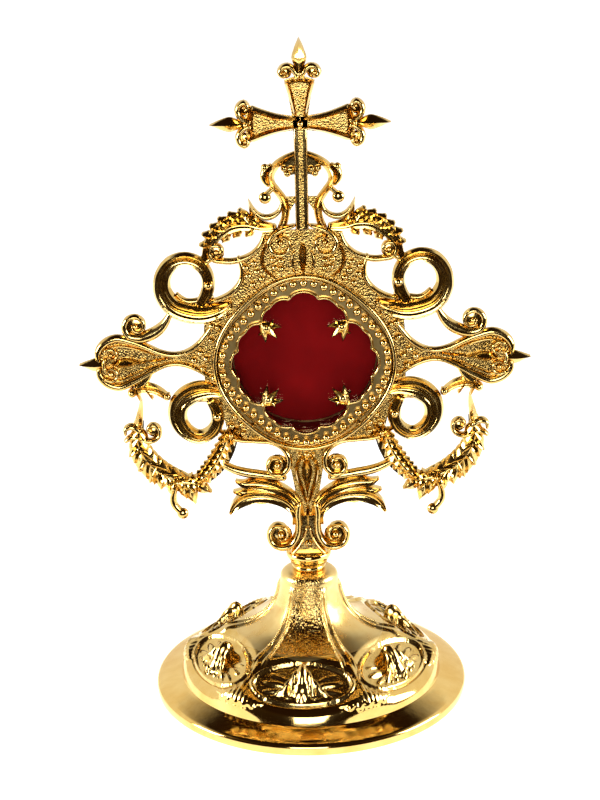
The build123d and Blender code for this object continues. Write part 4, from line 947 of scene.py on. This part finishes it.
# radius and height in mm: up the wall, over the band of medallions, up the neck, then back down inside
neckLine = resampled([(10.4, 39), (10.75, 36.5), (11.5, 33.5), (13, 30), (15.4, 26.8), (19, 23.9), (23.6, 21.9),
                      (28, 20.8)], 0.4)[::-1]
bandLine = resampled([(28, 20.8), (33, 19.2), (37, 17.4), (40, 15.6), (42.4, 13.6)], 0.25)[::-1]
outer = resampled([(45.8, 6.2), (42.6, 13.4)], 0.28) + bandLine[:-1] + neckLine
outer += [(10.2, 39.6), (10.15, 40.4), (10.2, 41.2), (9.9, 42.2), (9.2, 43), (8.2, 43.6), (7, 43.95), (5, 44)]
inner = [(2.15, 44), (2.15, 38), (8.2, 38)]
inner += [(max(8.3, r - 2), min(h - 2, 37.5)) for r, h in neckLine[::-6]]
inner += [(41, 9.2), (43.6, 6.2)]
verts, faces = turned(outer + inner, foot["segments"], footRelief, len(outer))


def footFinish(face):
    # the neck's front panel keeps its pores, the drum's wall is polished, medallions are as cast, the rest is satin
    x, y, z = verts[list(face)].mean(axis=0)
    a = (math.degrees(math.atan2(y, x)) - foot["turn"] + 90 + 180) % 360 - 180
    reach = math.hypot(x, y)
    if abs(a) < 25 and reach < 25 and z + headHeight > 21.5:
        return 2
    if reach > 42.7 and z + headHeight < 13:
        return 3
    return 1 if reach > 26 else 0


makePiece("footRelief", [(verts, faces, [footFinish(face) for face in faces])],
          [satinGilt, castGilt, peelGilt, polishedGilt], "stand", ["base_shell"],
          sharpDegrees=60)
flange = [(43.3, 6.4), (45.6, 6.4), (46.0, 6.3), (46.6, 6.05), (47.3, 5.85)]
flange += resampled([(48.2, 5.65), (53.6, 4.1)], 1.5)
flange += [(54.2, 3.8), (54.7, 3.4), (54.95, 2.9), (55, 2.4), (55, 1), (54.85, 0.45), (54.4, 0.1), (54, 0),
           (51, 0), (51, 2.2), (50.6, 2.5), (43.6, 5.2)]
makePiece("footFlange", [(*turned(flange, 288), 0)], [polishedGilt], "stand", ["base_shell"])
beadRows = []  # fine beads along the cords between the panels
for panel in range(foot["panels"]):
    for side in (-1, 1):
        middle = math.radians(foot["turn"] - 90 + (panel + 0.5) * 360 / foot["panels"])
        row = []
        for r, h in neckLine[14:-2:3]:
            a = middle + side * cordsApart(r) / r
            row.append(((r + 0.3) * math.cos(a), (r + 0.3) * math.sin(a), h + 0.45))
        beadRows.append(row)
beadLines("footBeads", beadRows, False,
          {"Beads per line": 30, "Bead radius": 0.42 * mm, "Height share": 1.0, "Finish": castGilt},
          "stand", ["base_shell"])
collar = [(2.15, 44), (4.9, 44), (5.5, 44.2), (5.8, 44.7), (5.85, 45.2), (5.6, 45.7), (5.1, 46), (2.15, 46)]
cup = [(2.15, 46), (5.6, 46), (6.3, 46.4), (6.8, 47.1), (7.3, 48), (7.7, 48.8), (7.95, 49.5), (7.95, 50.3),
       (7.7, 50.8), (7.2, 51), (2.15, 51)]
for name, profile, stands in (("collarRing", collar, ["stem_collar"]), ("stemCup", cup, ["stem_cup"])):
    makePiece(name, [(*turned(profile, 96), 0)], [polishedGilt], "stand", stands)
print("foot")


studio = {
    "cameraPlace": (0.0, -580.0, 300.2),  # mm, in front of the stem's axis and above the table
    "pitch": 18.535, "yaw": -0.19, "roll": -1.198,  # degrees
    "lensMm": 80.92, "sensorMm": 36.0,
    "sheetColour": (0.92, 0.92, 0.92, 1), "tableGlow": 0.8, "paperGlow": 0.55,
    # the room's colour from the front, 0, to the back, 1, as the metal sees it
    "walls": ((0.0, "1e1409"), (0.35, "3a2a14"), (0.47, "b09c74"), (0.57, "f8f4ea")),
    "backWall": "f4f0e8", "ceiling": "241608", "roomLight": 1.12,
    # place, what it points at, its size in metres, and its power in watts
    "softBoxes": {"leftSoftBox": ((-1.0, -0.2, 0.36), (0, 0, 0.1), (0.4, 0.45), 12),
                  "rightSoftBox": ((1.0, -0.14, 0.36), (0, 0, 0.1), (0.6, 0.5), 14),
                  "frontSoftBox": ((-0.06, -1.5, 0.5), (0, 0, 0.08), (0.66, 0.75), 11)},
}
bpy.context.scene.view_settings.view_transform = "Standard"

cameraData = bpy.data.cameras.new("camera")
cameraData.lens = studio["lensMm"]
cameraData.sensor_width = studio["sensorMm"]
cameraData.sensor_fit = "AUTO"
camera = bpy.data.objects.new("camera", cameraData)
bpy.context.scene.collection.objects.link(camera)
pitch, yaw, roll = (math.radians(studio[key]) for key in ("pitch", "yaw", "roll"))
forward = Vector((math.sin(yaw) * math.cos(pitch), math.cos(yaw) * math.cos(pitch), -math.sin(pitch)))
level = Vector((math.cos(yaw), -math.sin(yaw), 0))
upright = level.cross(forward)
right = level * math.cos(roll) + upright * math.sin(roll)
up = -level * math.sin(roll) + upright * math.cos(roll)
turn = Matrix((right, up, -forward)).transposed()
camera.matrix_world = Matrix.Translation(Vector(studio["cameraPlace"]) * mm) @ turn.to_4x4()
bpy.context.scene.camera = camera


def tableSheet(name, low, high, glow, height=0.0):
    mesh = bpy.data.meshes.new(name)
    mesh.from_pydata([(low[0], low[1], height), (high[0], low[1], height), (high[0], high[1], height),
                      (low[0], high[1], height)], [], [(0, 1, 2, 3)])
    sheet = bpy.data.objects.new(name, mesh)
    bpy.context.scene.collection.objects.link(sheet)
    material, tree = newMaterial(name + "Paint")
    finishMaterial(tree, addNode(tree, "ShaderNodeBsdfPrincipled", inputs={
        "Base Color": studio["sheetColour"], "Roughness": 0.7, "Emission Color": (1, 1, 1, 1),
        "Emission Strength": glow}))
    mesh.materials.append(material)
    return sheet


# the table: the camera sees it, while the metal mirrors only the white paper under and behind the foot
table = tableSheet("table", (-4, -4), (4, 4), studio["tableGlow"])
table.visible_glossy = False
paper = tableSheet("paper", (-0.9, -0.12), (0.9, 1.2), studio["paperGlow"], -0.0004)
paper.visible_camera = False
paper.visible_diffuse = False
paper.visible_shadow = False

# the room is white to the camera; the metal sees bright walls beside and behind it, dark ones above and in front
world = bpy.data.worlds.new("studio")
bpy.context.scene.world = world
world.use_nodes = True
room = world.node_tree
room.nodes.clear()
way = addNode(room, "ShaderNodeTexCoord")
apart = addNode(room, "ShaderNodeSeparateXYZ", links=[("Vector", way, "Generated")])
toSide = addNode(room, "ShaderNodeMath", {"operation": "ABSOLUTE"}, links=[(0, apart, "X")])
facing = addNode(room, "ShaderNodeMapRange", inputs={"From Min": -1.0, "From Max": 1.0},
                 links=[("Value", apart, "Y")])
walls = addNode(room, "ShaderNodeValToRGB", links=[("Fac", facing, "Result")])
for i, (position, colour) in enumerate(studio["walls"]):
    stop = walls.color_ramp.elements[i] if i < 2 else walls.color_ramp.elements.new(position)
    stop.position = position
    stop.color = hexColour(colour)
behind = addNode(room, "ShaderNodeMapRange", inputs={"From Min": 0.1, "From Max": 0.5},
                 links=[("Value", apart, "Y")])
withBack = addNode(room, "ShaderNodeMix", {"data_type": "RGBA"}, {"B": hexColour(studio["backWall"])},
                   [("Factor", behind, "Result"), ("A", walls, "Color")])
lowered = addNode(room, "ShaderNodeMath", {"operation": "MULTIPLY_ADD"}, {1: -0.4},
                  [(0, toSide, "Value"), (2, apart, "Z")])
above = addNode(room, "ShaderNodeMapRange", inputs={"From Min": 0.42, "From Max": 0.62},
                links=[("Value", lowered, "Value")])
withTop = addNode(room, "ShaderNodeMix", {"data_type": "RGBA"}, {"B": hexColour(studio["ceiling"])},
                  [("Factor", above, "Result"), ("A", withBack, "Result")])
lit = addNode(room, "ShaderNodeBackground", inputs={"Strength": studio["roomLight"]},
              links=[("Color", withTop, "Result")])
white = addNode(room, "ShaderNodeBackground", inputs={"Color": (1, 1, 1, 1), "Strength": 1.0})
ray = addNode(room, "ShaderNodeLightPath")
seen = addNode(room, "ShaderNodeMixShader",
               links=[("Fac", ray, "Is Camera Ray"), (1, lit, "Background"), (2, white, "Background")])
addNode(room, "ShaderNodeOutputWorld", links=[("Surface", seen, "Shader")])


def softBox(name, place, target, size, power):
    lamp = bpy.data.lights.new(name, "AREA")
    lamp.shape = "RECTANGLE"
    lamp.size, lamp.size_y = size
    lamp.energy = power
    lampObject = bpy.data.objects.new(name, lamp)
    lampObject.location = Vector(place)
    lampObject.rotation_euler = (Vector(target) - Vector(place)).to_track_quat("-Z", "Y").to_euler()
    bpy.context.scene.collection.objects.link(lampObject)


for name, (place, target, size, power) in studio["softBoxes"].items():
    softBox(name, place, target, size, power)
print("studio")
